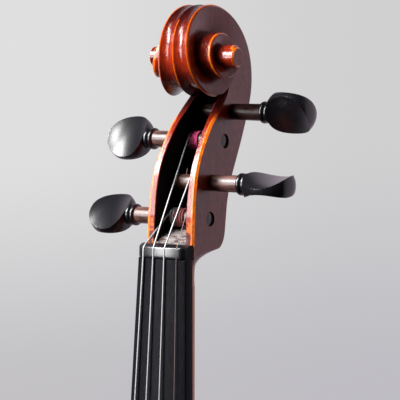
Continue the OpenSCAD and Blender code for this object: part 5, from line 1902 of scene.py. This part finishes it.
class VIOLIN_OT_finishes(bpy.types.Operator):
    """Mixes the varnish, ebony, wire, silk and bare wood"""

    bl_idname = "violin.finishes"
    bl_label = "Finishes"

    def execute(self, context):
        finish = context.scene.violin_finish
        grain_group()
        flame_group()
        wear_group()
        speckle_group()
        self.head_varnish(finish)
        maple = deeper(finish.varnish, 0.55)
        self.body_varnish("maple_varnish", finish, maple)
        self.body_varnish("front_varnish", finish, finish.spruce, (900.0, 900.0, 6.0))
        self.body_varnish("rib_varnish", finish, maple, inlaid=False)
        self.inside_head(finish)
        self.blacks(finish)
        self.peg_browns(finish)
        self.strings(finish)
        self.bare("bridge_wood", finish.bare_wood, (300.0, 300.0, 900.0), 0.55)
        self.bare("plain_wood", finish.bare_wood, (700.0, 700.0, 20.0), 0.7)
        self.plain(finish)
        return {"FINISHED"}

    def head_varnish(self, finish):
        """Varnish that is worn to orange along the carved edges, and bare wood on the neck."""
        tree, shader = new_material("head_varnish")
        streak = group(tree, "grain", Scale=(900.0, 900.0, 90.0))["Shade"]
        flame = group(tree, "flame", Bands=70.0, Bend=4.0)["Shade"]
        depth = span(tree, streak, 0.0, 1.0, 0.22, 0.42)
        depth = calc(tree, "ADD", depth, calc(tree, "MULTIPLY", flame, 0.1))
        tint = blend(tree, depth, finish.varnish_dark, finish.varnish)
        # Painted shade: darkens the varnish at the crest, the throat, the bass eye and above the nut
        tint = blend(tree, attribute(tree, "aged"), tint, finish.varnish_painted_shade)
        edge = attribute(tree, "wear")
        touched = attribute(tree, "touched")
        held = calc(tree, "MULTIPLY", touched, 0.5)
        rubbed = group(tree, "wear", Edge=held, Ragged=420.0, Spread=2.0)["Mask"]
        tint = blend(tree, rubbed, tint, finish.rubbed)
        thin = group(tree, "wear", Edge=edge, Ragged=600.0, Spread=0.5)["Mask"]
        tint = blend(tree, thin, tint, finish.worn)
        worst = calc(tree, "SUBTRACT", edge, 0.45)
        through = group(tree, "wear", Edge=worst, Ragged=500.0, Spread=1.0)["Mask"]
        tint = blend(tree, through, tint, finish.worn_pale)
        tint = blend(tree, attribute(tree, "dusty"), tint, finish.ledge_dark)
        bare = attribute(tree, "bare")
        tint = blend(tree, bare, tint, finish.neck)
        feed(tree, shader.inputs["Base Color"], tint)
        speckle = group(tree, "speckle", Fine=1100.0)
        rough = span(tree, speckle["Shade"], 0.0, 1.0, 0.12, 0.26)
        handled = span(tree, touched, 0.0, 0.3, 0.0, 0.7)
        dull = calc(tree, "MAXIMUM", calc(tree, "MULTIPLY", bare, 0.6), handled)
        feed(tree, shader.inputs["Roughness"], calc(tree, "MAXIMUM", rough, dull))
        roughen(tree, shader, speckle["Height"], 0.13)

    def body_varnish(self, name, finish, tint, lines=None, inlaid=True):
        """Varnish over figured maple or the fine lines of spruce, with the inlay along the edge."""
        tree, shader = new_material(name)
        if lines:
            shade = group(tree, "grain", Scale=lines)["Shade"]
        else:
            shade = group(tree, "flame", Bands=45.0, Bend=3.0)["Shade"]
        wood = blend(tree, shade, deeper(tint, 0.55), tint)
        if inlaid:
            distance = attribute(tree, "from_edge")
            wood = blend(tree, strip(tree, distance, 3.9, 5.3), wood, finish.ebony)
            wood = blend(tree, strip(tree, distance, 4.3, 4.9), wood, finish.bare_wood)
        feed(tree, shader.inputs["Base Color"], wood)
        polish(tree, shader, 900.0, 0.2, 0.32, 0.03)

    def inside_head(self, finish):
        """The blackened inside of the pegbox, and the dusty slope behind the nut."""
        _, shader = new_material("pegbox_dark")
        settle(shader, Base_Color=finish.pegbox, Roughness=0.8, Specular_IOR_Level=0.15)
        tree, shader = new_material("ledge_wood")
        streak = group(tree, "grain", Scale=(350.0, 900.0, 900.0))["Shade"]
        cracks = span(tree, streak, 0.3, 0.5)
        feed(tree, shader.inputs["Base Color"], blend(tree, cracks, finish.ledge_dark, finish.dust))
        settle(shader, Roughness=0.9, Specular_IOR_Level=0.1)
        roughen(tree, shader, group(tree, "speckle", Fine=1100.0)["Height"], 0.2)

    def blacks(self, finish):
        """Polished ebony of the pegs, nut and fittings, and the satin fingerboard."""
        # Smoothest and roughest gloss, strength of the mirror image and depth of the pores
        looks = {
            "peg_black": (0.26, 0.26, 0.5, 0.0),
            "nut_black": (0.28, 0.32, 0.85, 0.003),
            "fitting_black": (0.26, 0.34, 0.5, 0.0),
            "board_black": (0.42, 0.55, 0.06, 0.02),
        }
        for name, (smoothest, roughest, specular, depth) in looks.items():
            tree, shader = new_material(name)
            pores = group(tree, "grain", Scale=(1800.0, 1800.0, 120.0))["Shade"]
            paint(tree, shader, pores, finish.ebony, 0.5)
            settle(shader, Specular_IOR_Level=specular)
            if roughest > smoothest:
                polish(tree, shader, 1400.0, smoothest, roughest, depth)
            else:
                settle(shader, Roughness=smoothest)

    def peg_browns(self, finish):
        """Bare brown wood of the peg shafts, streaked along their length, and a darker, duller copy
        that paints shade on the A peg's shaft.
        """
        for name, share, specular in (("peg_brown", 1.0, 0.5), ("peg_dark", 0.3, 0.2)):
            tree, shader = new_material(name)
            streak = group(tree, "grain", Scale=(120.0, 900.0, 900.0))["Shade"]
            paint(tree, shader, streak, deeper(finish.peg_shaft, share), 0.3)
            feed(tree, shader.inputs["Roughness"], span(tree, streak, 0.0, 1.0, 0.26, 0.4))
            settle(shader, Specular_IOR_Level=specular)
            roughen(tree, shader, group(tree, "speckle", Fine=1600.0)["Height"], 0.05)

    def strings(self, finish):
        """Wound and plain wire, and the thread wrapped round the ends of the strings."""
        for name, tint in (("wire", finish.wire), ("plain_wire", finish.plain_wire)):
            _, shader = new_material(name)
            settle(shader, Base_Color=tint, Metallic=0.5, Roughness=0.42)
        for name, tint in (("pink_thread", finish.silk), ("faded_thread", finish.silk_faded)):
            tree, shader = new_material(name)
            strand = group(tree, "grain", Scale=(2600.0, 500.0, 500.0))["Shade"]
            paint(tree, shader, strand, tint, 0.5)
            settle(shader, Roughness=0.7, Specular_IOR_Level=0.1)
            roughen(tree, shader, strand, 0.08)

    def bare(self, name, tint, scale, rough):
        """Wood without varnish."""
        tree, shader = new_material(name)
        streak = group(tree, "grain", Scale=scale)["Shade"]
        paint(tree, shader, streak, tint, 0.62)
        settle(shader, Roughness=rough)
        roughen(tree, shader, streak, 0.03)

    def plain(self, finish):
        """The loop, the plated fine tuner and the floor."""
        _, shader = new_material("nylon")
        settle(shader, Base_Color=finish.ebony, Roughness=0.5)
        tree, shader = new_material("steel")
        polish(tree, shader, 900.0, 0.27, 0.3)
        settle(shader, Base_Color=finish.steel, Metallic=1.0)
        _, shader = new_material("paper")
        settle(shader, Base_Color=finish.paper, Roughness=0.9, Specular_IOR_Level=0.2)


class VIOLIN_PT_panel(bpy.types.Panel):
    """Lists the pieces of the violin"""

    bl_idname = "VIOLIN_PT_panel"
    bl_label = "Violin"
    bl_space_type = "VIEW_3D"
    bl_region_type = "UI"
    bl_category = "Violin"

    def draw(self, context):
        for operator in OPERATORS:
            self.layout.operator(operator.bl_idname)


GROUPS = {
    "violin_head": ViolinHead,
    "violin_pegs": ViolinPegs,
    "violin_body": ViolinBody,
    "violin_board": ViolinBoard,
    "violin_fittings": ViolinFittings,
    "violin_finish": ViolinFinish,
}
OPERATORS = (
    VIOLIN_OT_finishes,
    VIOLIN_OT_head,
    VIOLIN_OT_pegs,
    VIOLIN_OT_windings,
    VIOLIN_OT_strings,
    VIOLIN_OT_board,
    VIOLIN_OT_plates,
    VIOLIN_OT_ribs,
    VIOLIN_OT_bridge,
    VIOLIN_OT_fittings,
    VIOLIN_OT_inside,
    VIOLIN_OT_stage,
)


def register():
    for name, sizes in GROUPS.items():
        bpy.utils.register_class(sizes)
        setattr(bpy.types.Scene, name, bpy.props.PointerProperty(type=sizes))
    for operator in OPERATORS:
        bpy.utils.register_class(operator)
    bpy.utils.register_class(VIOLIN_PT_panel)


def unregister():
    bpy.utils.unregister_class(VIOLIN_PT_panel)
    for operator in reversed(OPERATORS):
        bpy.utils.unregister_class(operator)
    for name, sizes in reversed(GROUPS.items()):
        delattr(bpy.types.Scene, name)
        bpy.utils.unregister_class(sizes)


def main():
    register()
    for operator in OPERATORS:
        family, name = operator.bl_idname.split(".")
        getattr(getattr(bpy.ops, family), name)()


if __name__ == "__main__":
    main()
